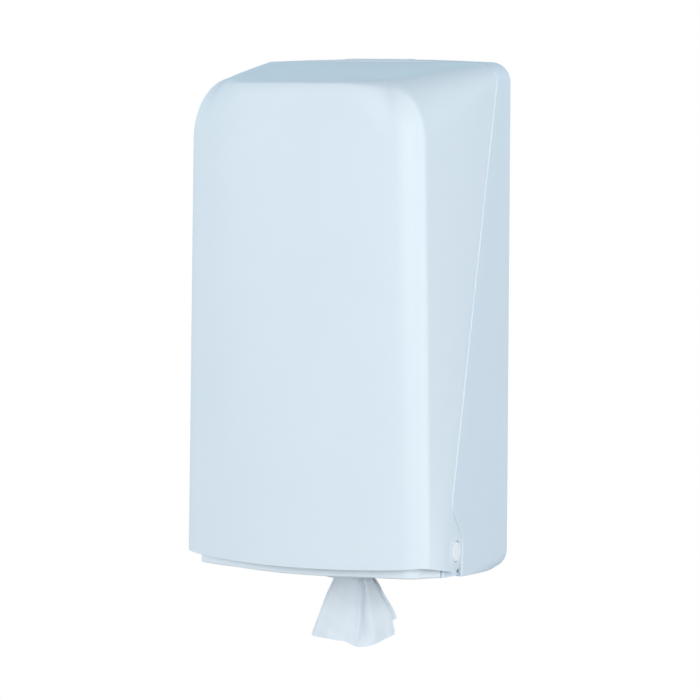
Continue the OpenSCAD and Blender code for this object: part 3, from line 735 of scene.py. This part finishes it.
def marked_edges(name, choose):
    """Gives the keen edges that choose() picks a bevel weight of 1."""
    tree, start = geometry_tree(name)
    angle = put(tree, "GeometryNodeInputMeshEdgeAngle")
    keen = put(tree, "ShaderNodeMath",
               {0: angle.outputs["Unsigned Angle"], 1: math.radians(45)}, operation="GREATER_THAN")
    picked = put(tree, "ShaderNodeMath", {0: keen.outputs[0], 1: choose(tree)}, operation="MULTIPLY")
    kept = put(tree, "GeometryNodeStoreNamedAttribute",
               {"Geometry": start.outputs[0], "Name": "bevel_weight_edge", "Value": picked.outputs[0]},
               data_type="FLOAT", domain="EDGE")
    put(tree, "NodeGroupOutput", {0: kept.outputs[0]})
    return tree


def passing(tree, groups):
    """Gives 1 where all tests of a group are met. A test is a value with a limit that it has to
    exceed, or with a place and how near to it the value has to lie, in millimetres."""
    picked = 0.0
    for tests in groups:
        met = 1.0
        for value, limit, *near in tests:
            inputs = {0: value, 1: limit * MM, 2: near[0] * MM if near else 0.0}
            test = put(tree, "ShaderNodeMath", inputs, operation="COMPARE" if near else "GREATER_THAN")
            met = put(tree, "ShaderNodeMath", {0: met, 1: test.outputs[0]}, operation="MULTIPLY").outputs[0]
        picked = put(tree, "ShaderNodeMath", {0: picked, 1: met}, operation="MAXIMUM").outputs[0]
    return picked


def seam_side(tree):
    """Picks the case's outer edge: round the side walls, but for the wall's side and the underside,
    over the roof, and on the front end of the web below each ear."""
    place = put(tree, "GeometryNodeInputPosition").outputs[0]
    normal = put(tree, "GeometryNodeInputNormal").outputs[0]
    apart = put(tree, "ShaderNodeVectorMath", {0: place}, operation="ABSOLUTE")
    away = put(tree, "ShaderNodeSeparateXYZ", {0: apart.outputs[0]}).outputs
    high = put(tree, "ShaderNodeSeparateXYZ", {0: place}).outputs["Z"]
    above = put(tree, "ShaderNodeVectorMath", {0: place, 1: (0, UNDER_SLOPE, 1)}, operation="DOT_PRODUCT")
    depth = put(tree, "ShaderNodeVectorMath", {0: place, 1: (0, -1, SEAM_SLOPE)}, operation="DOT_PRODUCT")
    level = put(tree, "ShaderNodeVectorMath", {0: place, 1: (1, 0, 1)}, operation="MULTIPLY")
    outward = put(tree, "ShaderNodeVectorMath", {0: level.outputs[0], 1: normal}, operation="DOT_PRODUCT")
    seam = CASE_ROOF_D + (BODY_H - FIXING_Z) * SEAM_SLOPE
    side = [(away["X"], HALF_W - 0.4), (away["Y"], 1),
            (above.outputs["Value"], OFF_UNDERSIDE - FIXING_Z)]
    roof = [(depth.outputs["Value"], seam, 0.4), (high, BODY_H - REAR_CORNER_R - FIXING_Z),
            (outward.outputs["Value"], 0)]
    web = [(away["X"], WEB_END[0], 0.2), (away["Y"], WEB_END[1], 0.2)]
    return passing(tree, (side, roof, web))


def chin_low(tree):
    """Picks the outer lower edge of the chin: level in front, then along the sloping underside."""
    place = put(tree, "GeometryNodeInputPosition").outputs[0]
    normal = put(tree, "GeometryNodeInputNormal").outputs[0]
    high = put(tree, "ShaderNodeSeparateXYZ", {0: place}).outputs["Z"]
    above = put(tree, "ShaderNodeVectorMath", {0: place, 1: (0, UNDER_SLOPE, 1)}, operation="DOT_PRODUCT")
    apart = put(tree, "ShaderNodeVectorMath", {0: place, 1: (0, -OUTLET_D * MM, 0)}, operation="SUBTRACT")
    flat = put(tree, "ShaderNodeVectorMath", {0: apart.outputs[0], 1: (1, 1, 0)}, operation="MULTIPLY")
    outward = put(tree, "ShaderNodeVectorMath", {0: flat.outputs[0], 1: normal}, operation="DOT_PRODUCT")
    outer = (outward.outputs["Value"], 0)
    front = [(high, CHIN_Z - FIXING_Z, 0.3), outer]
    rear = [(above.outputs["Value"], -FIXING_Z, 0.3), outer]
    return passing(tree, (front, rear))


SMOOTH_FACES = smooth_faces()
SEAM_EDGE = marked_edges("seam_edge", seam_side)
CHIN_EDGE = marked_edges("chin_edge", chin_low)


def soften(name, mat, edge_mm, marks=None):
    """Gives a CAD node its material, joined and evened faces, and moulded edges that catch light:
    all its keen edges, or only the ones that a tree marks."""
    obj = nodes[name]
    obj.data.materials.clear()
    obj.data.materials.append(mat)
    join = obj.modifiers.new("join", "WELD")
    join.merge_threshold = 2e-6
    flat = obj.modifiers.new("flat_faces", "DECIMATE")
    flat.decimate_type, flat.angle_limit = "DISSOLVE", math.radians(0.6)
    if marks:
        run_tree(obj, marks)
    if edge_mm:
        edge = obj.modifiers.new("edges", "BEVEL")
        edge.width, edge.segments = edge_mm * MM, 6 if marks else 3
        edge.limit_method, edge.angle_limit = "WEIGHT" if marks else "ANGLE", math.radians(32)
        edge.use_clamp_overlap = marks is not SEAM_EDGE
    run_tree(obj, SMOOTH_FACES)
    even = obj.modifiers.new("even_light", "WEIGHTED_NORMAL")
    even.keep_sharp = True
    return obj


for name, mat, edge_mm, marks in (
    ("rear_case", CASE_ABS, 1.7, SEAM_EDGE),
    ("roll_tray", TRAY_ABS_LIGHTENED, 1.0, CHIN_EDGE),
    ("key_plate", CASE_ABS, 0.3, None),
    ("latch_housing", TRAY_ABS_LIGHTENED, 0.4, None),
    ("latch_bar", LATCH_ACETAL, 0.4, None),
    ("cover_catch", LATCH_ACETAL, 0.4, None),
    ("nozzle_ring", TRAY_ABS_LIGHTENED, 0.4, None),
    ("nozzle_cone", NOZZLE_PP, 0.4, None),
    ("hinge_pin_left", PIN_ACETAL_PAINTED_HIGHLIGHT, 0.5, None),
    ("hinge_pin_right", PIN_ACETAL_PAINTED_HIGHLIGHT, 0.5, None),
    ("hinge_clip_left", ZINC_STEEL, 0.2, None),
    ("hinge_clip_right", ZINC_STEEL, 0.2, None),
    ("hinge_bush_left", BUSH_ACETAL, 0.2, None),
    ("hinge_bush_right", BUSH_ACETAL, 0.2, None),
):
    soften(name, mat, edge_mm, marks)

# Screws, latch spring and tear ring


def screw_tree():
    """Tapping screws with a cross recess, one at each point of the mesh."""
    tree, start = geometry_tree(
        "cross_screws", Head_Radius="Float", Head_Height="Float", Shank_Radius="Float",
        Length="Float", Turn="Rotation", Material="Material",
    )
    size = start.outputs
    part = {}
    for name, full_size, share in (
        ("crown", "Head Radius", 0.8), ("sunk", "Length", -0.48), ("long", "Head Radius", 1.2),
        ("thin", "Head Radius", 0.27), ("deep", "Head Height", 1.2), ("fall", "Length", -0.9),
    ):
        scaled = put(tree, "ShaderNodeMath", {0: size[full_size], 1: share}, operation="MULTIPLY")
        part[name] = scaled.outputs[0]
    head = put(tree, "GeometryNodeMeshCone",
               {"Vertices": 40, "Radius Top": part["crown"],
                "Radius Bottom": size["Head Radius"], "Depth": size["Head Height"]})
    shank = put(tree, "GeometryNodeMeshCylinder",
                {"Vertices": 28, "Radius": size["Shank Radius"], "Depth": size["Length"]})
    down = put(tree, "ShaderNodeCombineXYZ", {"Z": part["sunk"]})
    stem = put(tree, "GeometryNodeTransform",
               {"Geometry": shank.outputs["Mesh"], "Translation": down.outputs[0]})
    whole = put(tree, "GeometryNodeMeshBoolean", {"Mesh 2": head.outputs["Mesh"]}, operation="UNION")
    tree.links.new(stem.outputs[0], whole.inputs["Mesh 2"])
    # Cross recess: two bars, three quarters as long as the crown is wide
    bar = put(tree, "ShaderNodeCombineXYZ", {"X": part["long"], "Y": part["thin"], "Z": part["deep"]})
    block = put(tree, "GeometryNodeMeshCube", {"Size": bar.outputs[0]})
    up = put(tree, "ShaderNodeCombineXYZ", {"Z": size["Head Height"]})
    one = put(tree, "GeometryNodeTransform",
              {"Geometry": block.outputs["Mesh"], "Translation": up.outputs[0]})
    two = put(tree, "GeometryNodeTransform", {"Geometry": one.outputs[0], "Rotation": (0, 0, math.pi / 2)})
    cut = put(tree, "GeometryNodeMeshBoolean",
              {"Mesh 1": whole.outputs["Mesh"], "Mesh 2": one.outputs[0]}, operation="DIFFERENCE")
    tree.links.new(two.outputs[0], cut.inputs["Mesh 2"])
    # Thread: a three-sided ridge wound round the shank
    coil = put(tree, "GeometryNodeCurveSpiral",
               {"Resolution": 20, "Rotations": 6.0, "Start Radius": size["Shank Radius"],
                "End Radius": size["Shank Radius"], "Height": part["fall"]})
    ridge = put(tree, "GeometryNodeCurvePrimitiveCircle", {"Resolution": 3, "Radius": 0.22 * MM})
    thread = put(tree, "GeometryNodeCurveToMesh",
                 {"Curve": coil.outputs[0], "Profile Curve": ridge.outputs[0], "Fill Caps": True})
    screw = put(tree, "GeometryNodeJoinGeometry", {0: cut.outputs["Mesh"]})
    tree.links.new(thread.outputs[0], screw.inputs[0])
    each = put(tree, "GeometryNodeInstanceOnPoints",
               {"Points": size["Geometry"], "Instance": screw.outputs[0], "Rotation": size["Turn"]})
    real = put(tree, "GeometryNodeRealizeInstances", {0: each.outputs[0]})
    done = put(tree, "GeometryNodeSetMaterial", {"Geometry": real.outputs[0], "Material": size["Material"]})
    put(tree, "NodeGroupOutput", {0: done.outputs[0]})
    return tree


SCREWS = screw_tree()
UP, DOWN, FORWARD = (0, 0, 0), (math.pi, 0, 0), (math.pi / 2, 0, 0)
# The sizes are the head's radius and height, and the shank's radius and length
for node, body, points, turn, (head_r, head_h, shank_r, length) in (
    ("tray_screws", "case", TRAY_SCREWS, DOWN, (3.5, 2.1, 1.4, 9.0)),
    ("nozzle_ring_screws", "case", RING_SCREWS, UP, (2.4, 1.6, 1.2, 9.4)),
    ("latch_screws", "case", LATCH_SCREWS, FORWARD, (3.0, 2.0, 1.2, 6.5)),
    ("catch_screws", "cover", CATCH_SCREWS, DOWN, (2.8, 1.85, 1.2, 7.4)),
):
    screws = new_piece(node + "_cross", row(points), [], [])
    run_tree(screws, SCREWS, Head_Radius=head_r * MM, Head_Height=head_h * MM, Shank_Radius=shank_r * MM,
             Length=length * MM, Turn=turn, Material=ZINC_STEEL)
    settle(plain_mesh(screws), body, "zinc_steel", node)


def latch_spring():
    """The coil under the latch bar, which shortens towards its lower end as a key presses the bar; here it is
    made as a rigid coil on the case.
    """
    low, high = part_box("latch_spring")
    wire, turns, sides = SPRING_WIRE * MM, SPRING_TURNS, 10
    radius, middle = (high.x - low.x) / 2 - wire, (low + high) / 2
    verts, faces = [], []
    rings = 32 * turns
    for i in range(rings + 1):
        a = 2 * math.pi * turns * i / rings
        z = low.z + wire + (high.z - low.z - 2 * wire) * i / rings
        for j in range(sides):
            b = 2 * math.pi * j / sides
            r = radius + wire * math.cos(b)
            verts.append((middle.x + r * math.cos(a), middle.y + r * math.sin(a), z + wire * math.sin(b)))
    for i in range(rings):
        for j in range(sides):
            m = (j + 1) % sides
            faces.append((i * sides + j, (i + 1) * sides + j, (i + 1) * sides + m, i * sides + m))
    faces += [tuple(range(sides)), tuple(rings * sides + j for j in reversed(range(sides)))]
    coil = new_piece("spring_coil", verts, faces, SPRING_STEEL)
    smooth(coil.data, 40)
    settle(coil, "case", "spring_steel", "latch_spring")
    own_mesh(coil)


latch_spring()


def tooth_tree():
    """Pointed teeth round the inside of a ring, added to the ring's own mesh."""
    tree, start = geometry_tree(
        "tear_teeth", Teeth="Int", Root_Radius="Float", Tooth_Length="Float", Tooth_Width="Float",
        Rise="Float", Centre="Vector", Material="Material",
    )
    size = start.outputs
    # A three-sided prism with its tip on +x, stretched from the triangle in a unit circle
    prism = put(tree, "GeometryNodeMeshCylinder", {"Vertices": 3, "Radius": 1.0, "Depth": size["Rise"]})
    long = put(tree, "ShaderNodeMath", {0: size["Tooth Length"], 1: 1 / 1.5}, operation="MULTIPLY")
    wide = put(tree, "ShaderNodeMath", {0: size["Tooth Width"], 1: 1 / math.sqrt(3)}, operation="MULTIPLY")
    shape = put(tree, "ShaderNodeCombineXYZ", {"X": long.outputs[0], "Y": wide.outputs[0], "Z": 1.0})
    root = put(tree, "ShaderNodeMath", {0: size["Tooth Length"], 1: 1 / 3}, operation="MULTIPLY")
    foot = put(tree, "ShaderNodeCombineXYZ", {"X": root.outputs[0]})
    tooth = put(tree, "GeometryNodeTransform",
                {"Geometry": prism.outputs["Mesh"], "Scale": shape.outputs[0],
                 "Translation": foot.outputs[0]})
    ring = put(tree, "GeometryNodeMeshCircle", {"Vertices": size["Teeth"], "Radius": size["Root Radius"]})
    placed = put(tree, "GeometryNodeTransform",
                 {"Geometry": ring.outputs["Mesh"], "Translation": size["Centre"]})
    index = put(tree, "GeometryNodeInputIndex").outputs[0]
    share = put(tree, "ShaderNodeMath", {0: index, 1: size["Teeth"]}, operation="DIVIDE")
    angle = put(tree, "ShaderNodeMath",
                {0: share.outputs[0], 1: 2 * math.pi, 2: math.pi}, operation="MULTIPLY_ADD")
    about_z = put(tree, "ShaderNodeCombineXYZ", {"Z": angle.outputs[0]})
    inward = put(tree, "FunctionNodeEulerToRotation", {0: about_z.outputs[0]})
    each = put(tree, "GeometryNodeInstanceOnPoints",
               {"Points": placed.outputs[0], "Instance": tooth.outputs[0],
                "Rotation": inward.outputs[0]})
    real = put(tree, "GeometryNodeRealizeInstances", {0: each.outputs[0]})
    both = put(tree, "GeometryNodeJoinGeometry", {0: size["Geometry"]})
    tree.links.new(real.outputs[0], both.inputs[0])
    done = put(tree, "GeometryNodeSetMaterial", {"Geometry": both.outputs[0], "Material": size["Material"]})
    put(tree, "NodeGroupOutput", {0: done.outputs[0]})
    return tree


def about_outlet(verts):
    """Turned points moved to the outlet's axis."""
    return [(x, OUTLET_D + y, z) for x, y, z in verts]


def tear_ring():
    low, high, inner, outer = MOUTH_Z - 2.6, MOUTH_Z - 0.05, MOUTH_R + 1.3, MOUTH_R + 3
    edge = 0.35
    verts, faces = lathe([(inner, low), (outer - edge, low), (outer - 0.1, low + 0.1), (outer, low + edge),
                          (outer, high), (inner, high)], 96)
    ring = scratch_solid("tear_ring_toothed", [(about_outlet(verts), faces)])
    run_tree(
        ring, tooth_tree(), Teeth=12, Root_Radius=(inner + 0.6) * MM, Tooth_Length=2.2 * MM,
        Tooth_Width=3.2 * MM, Rise=(high - low - 0.3) * MM,
        Centre=tuple(row((0, OUTLET_D, (low + high) / 2))), Material=NOZZLE_PP,
    )
    settle(plain_mesh(ring), "nozzle", "nozzle_grey", "tear_ring")


tear_ring()

# Paper


def paper_roll():
    """The wound roll: its turns stand a little proud of each other on the ends."""
    top, edge = ROLL_Z + ROLL_H, 0.8
    radii = np.arange(CORE_R + 1.2, ROLL_R - edge - 0.4, 0.6)
    relief = [0.16 * math.sin(2.1 * i) + 0.1 * math.sin(0.37 * i + 1) for i in range(len(radii))]
    low = [(r, ROLL_Z + 0.3 + h) for r, h in zip(radii, relief)]
    high = [(r, top - 0.3 - h) for r, h in zip(radii[::-1], relief[::-1])]
    profile = [(CORE_R, top - edge), (CORE_R, ROLL_Z + edge)] + low
    profile += [(ROLL_R - 0.25, ROLL_Z + 0.3), (ROLL_R, ROLL_Z + edge), (ROLL_R, top - edge),
                (ROLL_R - 0.25, top - 0.3)]
    verts, faces = lathe(profile + high, 120)
    roll = scratch_solid("wound_roll", [(about_outlet(verts), faces)])
    roll.data.materials.append(ROLL_TISSUE)
    smooth(roll.data, 40)
    settle(roll, "case", "tissue", "paper_roll")


# The tail, measured across the way it hangs: heights with the sideways place of its edges
TAIL_TURN = math.radians(15)  # the sheet hangs turned a little to the right
TAIL_TOP = 73.0
TAIL_LIFT = MOUTH_Z - 3  # the heights below start 3 mm under the mouth
LEFT_EDGE = [(73, -19), (48, -13.5), (29, -12.3), (5, -10.5), (0.5, -8.9), (-3.4, -9.4), (-13, -13.9),
             (-22.7, -17.5), (-32.3, -20.9), (-38.7, -23.4), (-50, -25)]
FRONT_RIGHT = [(73, 19), (48, 13.5), (29, 12.3), (0.5, 13), (-2.8, 16.5), (-14.3, 22.5), (-23, 27.6),
               (-29, 29.2), (-35.5, 30.6), (-50, 31.4)]
BACK_RIGHT = [(73, 19), (48, 13.5), (29, 12.3), (0.5, 13), (-2.8, 18.2), (-14.3, 25.5), (-23.3, 30.7),
              (-27.5, 32.2), (-50, 34)]
HALF_THICK = [(73, 18.5), (48, 13), (29, 12), (5, 11), (0.5, 10.5), (-6, 10), (-20, 9.5), (-50, 10.5)]
# Places across the hem with its heights
FRONT_HEM = [(-24.6, -40.4), (-22.6, -40.6), (-19.2, -40.9), (-12.1, -40.6), (-4.1, -42), (0.5, -42.4),
             (3.9, -44.1), (8.1, -45.8), (11.4, -45.7), (14.4, -45), (21.5, -42.4), (30, -38.3), (32, -37.6)]
BACK_HEM = [(-24, -39.2), (-10, -37), (10, -35), (24, -31.5), (32, -27.8), (35, -27)]
# The fold in front: heights with its place, half width and depth
FOLD_PLACE = [(73, 4), (10, 6), (0.5, 8.5), (-6, 10.5), (-50, 10.7)]
FOLD_HALF = [(73, 3), (0.5, 2.6), (-10, 4), (-27, 4.4), (-36, 8.2), (-44, 8.6), (-50, 8.6)]
FOLD_DEPTH = [(73, 5), (10, 6), (3, 3), (-2, 1.6), (-26, 1.6), (-32, 1.9), (-40, 1.7), (-44, 0.7),
              (-46, 0.2), (-50, 0)]
BACK_PLEATS = 7
BACK_PLEAT_DEPTH = 1.3  # of the gathered tail's half thickness
PLEATED = 0.8  # share of the back that is pleated; the rest is the sheet's free end
END_GAP = 0.8  # the free end lies this close behind the front
PAPER_T = 0.22
TAIL_COLUMNS = (30, 64, 60, 110)  # right of the fold, in it, left of it and on the back


def along(x, table):
    """Value at x on a curve through a table's points."""
    keys, values = zip(*sorted(table))
    return np.interp(x, keys, values)


def tail_front(z, s):
    """How far the tail's front stands out at a height and a place across, and its bulge without folds."""
    left, right = along(z, LEFT_EDGE), along(z, FRONT_RIGHT)
    s = min(s, right)
    thick, fold, half = along(z, HALF_THICK), along(z, FOLD_PLACE), along(z, FOLD_HALF)
    q = np.clip((s - (left + right) / 2) / ((right - left) / 2), -1, 1)
    round_edge = max(0.0, 1 - abs(q) ** 3) ** 0.6
    hang = ease(-z / 12)  # 0 in the mouth, 1 where the sheet hangs free
    open_edge = 0.3 + 0.7 * (1 - max(q, 0) ** 3)
    bulge = thick * (round_edge if q < 0 else round_edge + (open_edge - round_edge) * hang)
    grow = 0.35 + 0.65 * ease(-z / 30)
    if s < fold:
        swing = 2.3 * (s - left) / (fold - left) + 0.12
        wave = 0.9 * math.cos(2 * math.pi * swing) * ease((s - left) / 5)
    else:
        swing = 1.7 * (s - fold) / (right - fold) + 0.4
        wave = 0.8 * math.cos(2 * math.pi * swing)
    x = (s - fold) / half
    tuck = along(z, FOLD_DEPTH) * ease((x + 0.56) / 0.2) * (1 - ease((x - 0.2) / 0.75))
    return bulge + grow * wave - tuck, bulge


def tail_section(z, part, t):
    """A point of the tail's section at a height: part is 0 right of the fold, 1 in the fold, 2 left
    of it and 3 on the back, and t runs along the part. Gives the place across and to the front."""
    left, right = along(z, LEFT_EDGE), along(z, BACK_RIGHT if part == 3 else FRONT_RIGHT)
    fold, half = along(z, FOLD_PLACE), along(z, FOLD_HALF)
    if part == 0:
        s = right + (fold + half - right) * t
    elif part == 1:
        s = fold + half * (1 - 2 * t)
    elif part == 2:
        s = fold - half + (left - fold + half) * math.sin(t * math.pi / 2)
    else:
        s = left + (right - left) * (1 - math.cos(t * math.pi / 2))
    hang = ease(-z / 12)
    front, bulge = tail_front(z, s)
    ruffle = 0.35 * math.sin(0.55 * s + 0.21 * z + 1) * math.cos(0.33 * z - 0.21 * s) * (0.3 + 0.7 * hang)
    if part < 3:
        return s, front + ruffle
    pleat = 0.5 - 0.5 * math.cos(2 * math.pi * BACK_PLEATS * min(t / PLEATED, 1) ** 2)
    back = bulge * (BACK_PLEAT_DEPTH * pleat - 1)
    free = hang * ease((t - PLEATED) / (0.96 - PLEATED))
    return s, back + (front - END_GAP - back) * free + ruffle


def paper_tail():
    """The gathered end of the sheet: pulled from the roll's middle, pinched in the mouth and hanging
    below it in folds, open on the right."""
    columns = [(part, i / n) for part, n in enumerate(TAIL_COLUMNS) for i in range(n)] + [(3, 1.0)]
    above, below, mouth = 24, 66, 3  # rows above and below a height in the mouth
    points = np.zeros((len(columns), above + below + 1, 3))
    for i, (part, t) in enumerate(columns):
        s, hem = tail_section(-40.0, part, t)[0], 0.0
        for _ in range(8):
            hem = along(s, BACK_HEM if part == 3 else FRONT_HEM)
            s = tail_section(hem, part, t)[0]
        upper = np.linspace(TAIL_TOP, mouth, above, endpoint=False)
        heights = np.concatenate([upper, np.linspace(mouth, hem, below + 1)])
        for j, z in enumerate(heights):
            s, f = tail_section(z, part, t)
            points[i, j] = (s * math.cos(TAIL_TURN) + f * math.sin(TAIL_TURN),
                            OUTLET_D - s * math.sin(TAIL_TURN) + f * math.cos(TAIL_TURN), z + TAIL_LIFT)
    n = points.shape[1]
    faces = [(i * n + j, (i + 1) * n + j, (i + 1) * n + j + 1, i * n + j + 1)
             for i in range(len(columns) - 1) for j in range(n - 1)]
    tail = new_piece("tissue_tail", row(points.reshape(-1, 3)), faces, TAIL_TISSUE)
    # The map is the flat sheet in metres
    across = np.linspace(0, SHEET_W * MM, len(columns))
    flat = tail.data.uv_layers.new(name="flat_sheet")
    for loop in tail.data.loops:
        i, j = divmod(loop.vertex_index, n)
        flat.data[loop.index].uv = (across[i], (TAIL_TOP - points[i, j, 2]) * MM)
    paper = tail.modifiers.new("paper", "SOLIDIFY")
    paper.thickness, paper.offset = PAPER_T * MM, 0
    plain_mesh(tail, 70)
    settle(tail, "case", "tissue", "paper_tail")


paper_roll()
paper_tail()

# View, light and floor
WHITE = (1, 1, 1, 1)
BEHIND_LOW, BEHIND_HIGH = (0.55, 0.64, 0.70, 1), (0.64, 0.90, 1.06, 1)
PANEL_LIGHT, ROOM_LIGHT = (3.6, 3.6, 3.6, 1), (0.30, 0.33, 0.36, 1)


def direction(az, el):
    """Where a place lies, by its azimuth from the front and its height above level, in degrees."""
    a, e = math.radians(az), math.radians(el)
    return Vector((math.sin(a) * math.cos(e), -math.cos(a) * math.cos(e), math.sin(e)))


def look_at(data, aim, az, el, distance):
    """Adds a camera or a lamp that faces a point from a direction and a distance."""
    back = direction(az, el)
    obj = bpy.data.objects.new(data.name, data)
    obj.location = Vector(aim) + distance * back
    obj.rotation_euler = back.to_track_quat("Z", "Y").to_euler()
    bpy.context.scene.collection.objects.link(obj)
    return obj


def camera():
    """Camera of the photograph: a long lens from the right of the front, a little above."""
    data = bpy.data.cameras.new("camera")
    data.lens, data.sensor_width = 129.8, 36.0
    data.clip_end = 50
    bpy.context.scene.camera = look_at(data, (0.00736, -0.085, -0.01807), 21.78, 7.14, 1.6)


def softbox(name, az, el, distance, width, height, power):
    """A large soft lamp; what the gloss mirrors is the studio round it, not the lamp."""
    data = bpy.data.lights.new(name, "AREA")
    data.shape, data.size, data.size_y, data.energy = "RECTANGLE", width, height, power
    look_at(data, (0, -0.08, 0), az, el, distance).visible_glossy = False


def studio():
    softbox("key_right", 69, 9, 2.2, 1.6, 1.2, 29)
    softbox("fill_left", -40, 9, 2.6, 1.8, 1.2, 41)
    world = bpy.data.worlds.new("studio")
    world.use_nodes = True
    bpy.context.scene.world = world
    tree = world.node_tree
    path = put(tree, "ShaderNodeLightPath")
    way = put(tree, "ShaderNodeTexCoord").outputs["Generated"]
    # The gloss mirrors a white studio in front, a blue-grey one behind that changes to a paler blue
    # overhead, and a bright panel on the right that fades to the front and ends sharply beside the object
    shares = {}
    for name, az, low, high, kind in (
        ("ahead", 38.5, -0.35, 0.35, "LINEAR"),
        ("panel", 108, -0.1, 0.95, "SMOOTHSTEP"),
        ("stop", 39, -0.08, 0.06, "LINEAR"),
    ):
        facing = put(tree, "ShaderNodeVectorMath", {0: way, 1: direction(az, 0)}, operation="DOT_PRODUCT")
        ramp = put(tree, "ShaderNodeMapRange",
                   {"Value": facing.outputs["Value"], "From Min": low, "From Max": high},
                   interpolation_type=kind)
        shares[name] = ramp.outputs[0]
    lift = put(tree, "ShaderNodeSeparateXYZ", {0: way})
    lift = put(tree, "ShaderNodeMapRange", {"Value": lift.outputs["Z"], "From Min": -0.05, "From Max": 0.12})
    glow = put(tree, "ShaderNodeMath", {0: shares["panel"], 1: shares["stop"]}, operation="MULTIPLY")
    shown = put(tree, "ShaderNodeMath",
                {0: path.outputs["Is Camera Ray"], 1: path.outputs["Is Transmission Ray"]},
                operation="MAXIMUM")
    behind = put(tree, "ShaderNodeMix", {0: lift.outputs[0], 6: BEHIND_LOW, 7: BEHIND_HIGH}, data_type="RGBA")
    room = put(tree, "ShaderNodeMix", {0: shares["ahead"], 6: behind.outputs[2], 7: WHITE}, data_type="RGBA")
    mirrored = put(tree, "ShaderNodeMix",
                   {0: glow.outputs[0], 6: room.outputs[2], 7: PANEL_LIGHT}, data_type="RGBA")
    soft = put(tree, "ShaderNodeMix",
               {0: path.outputs["Is Glossy Ray"], 6: ROOM_LIGHT, 7: mirrored.outputs[2]}, data_type="RGBA")
    tone = put(tree, "ShaderNodeMix", {0: shown.outputs[0], 6: soft.outputs[2], 7: WHITE}, data_type="RGBA")
    tree.links.new(tone.outputs[2], tree.nodes["Background"].inputs["Color"])
    # Plain pale floor, as far below as such a dispenser hangs
    size, low = 2.0, -1.25
    corners = [(x * size, y * size, low) for x, y in ((-1, -1), (1, -1), (1, 1), (-1, 1))]
    floor = new_piece("floor", corners, [(0, 1, 2, 3)], [])
    mat, tree, shader = new_material("floor_pale")
    shader.inputs["Base Color"].default_value = (0.55, 0.555, 0.56, 1)
    shader.inputs["Roughness"].default_value = 0.8
    path = put(tree, "ShaderNodeLightPath")
    tree.links.new(path.outputs["Is Camera Ray"], shader.inputs["Emission Strength"])
    shader.inputs["Emission Color"].default_value = (0.75, 0.75, 0.75, 1)
    floor.data.materials.append(mat)


camera()
studio()
bpy.context.scene.view_settings.view_transform = "Standard"
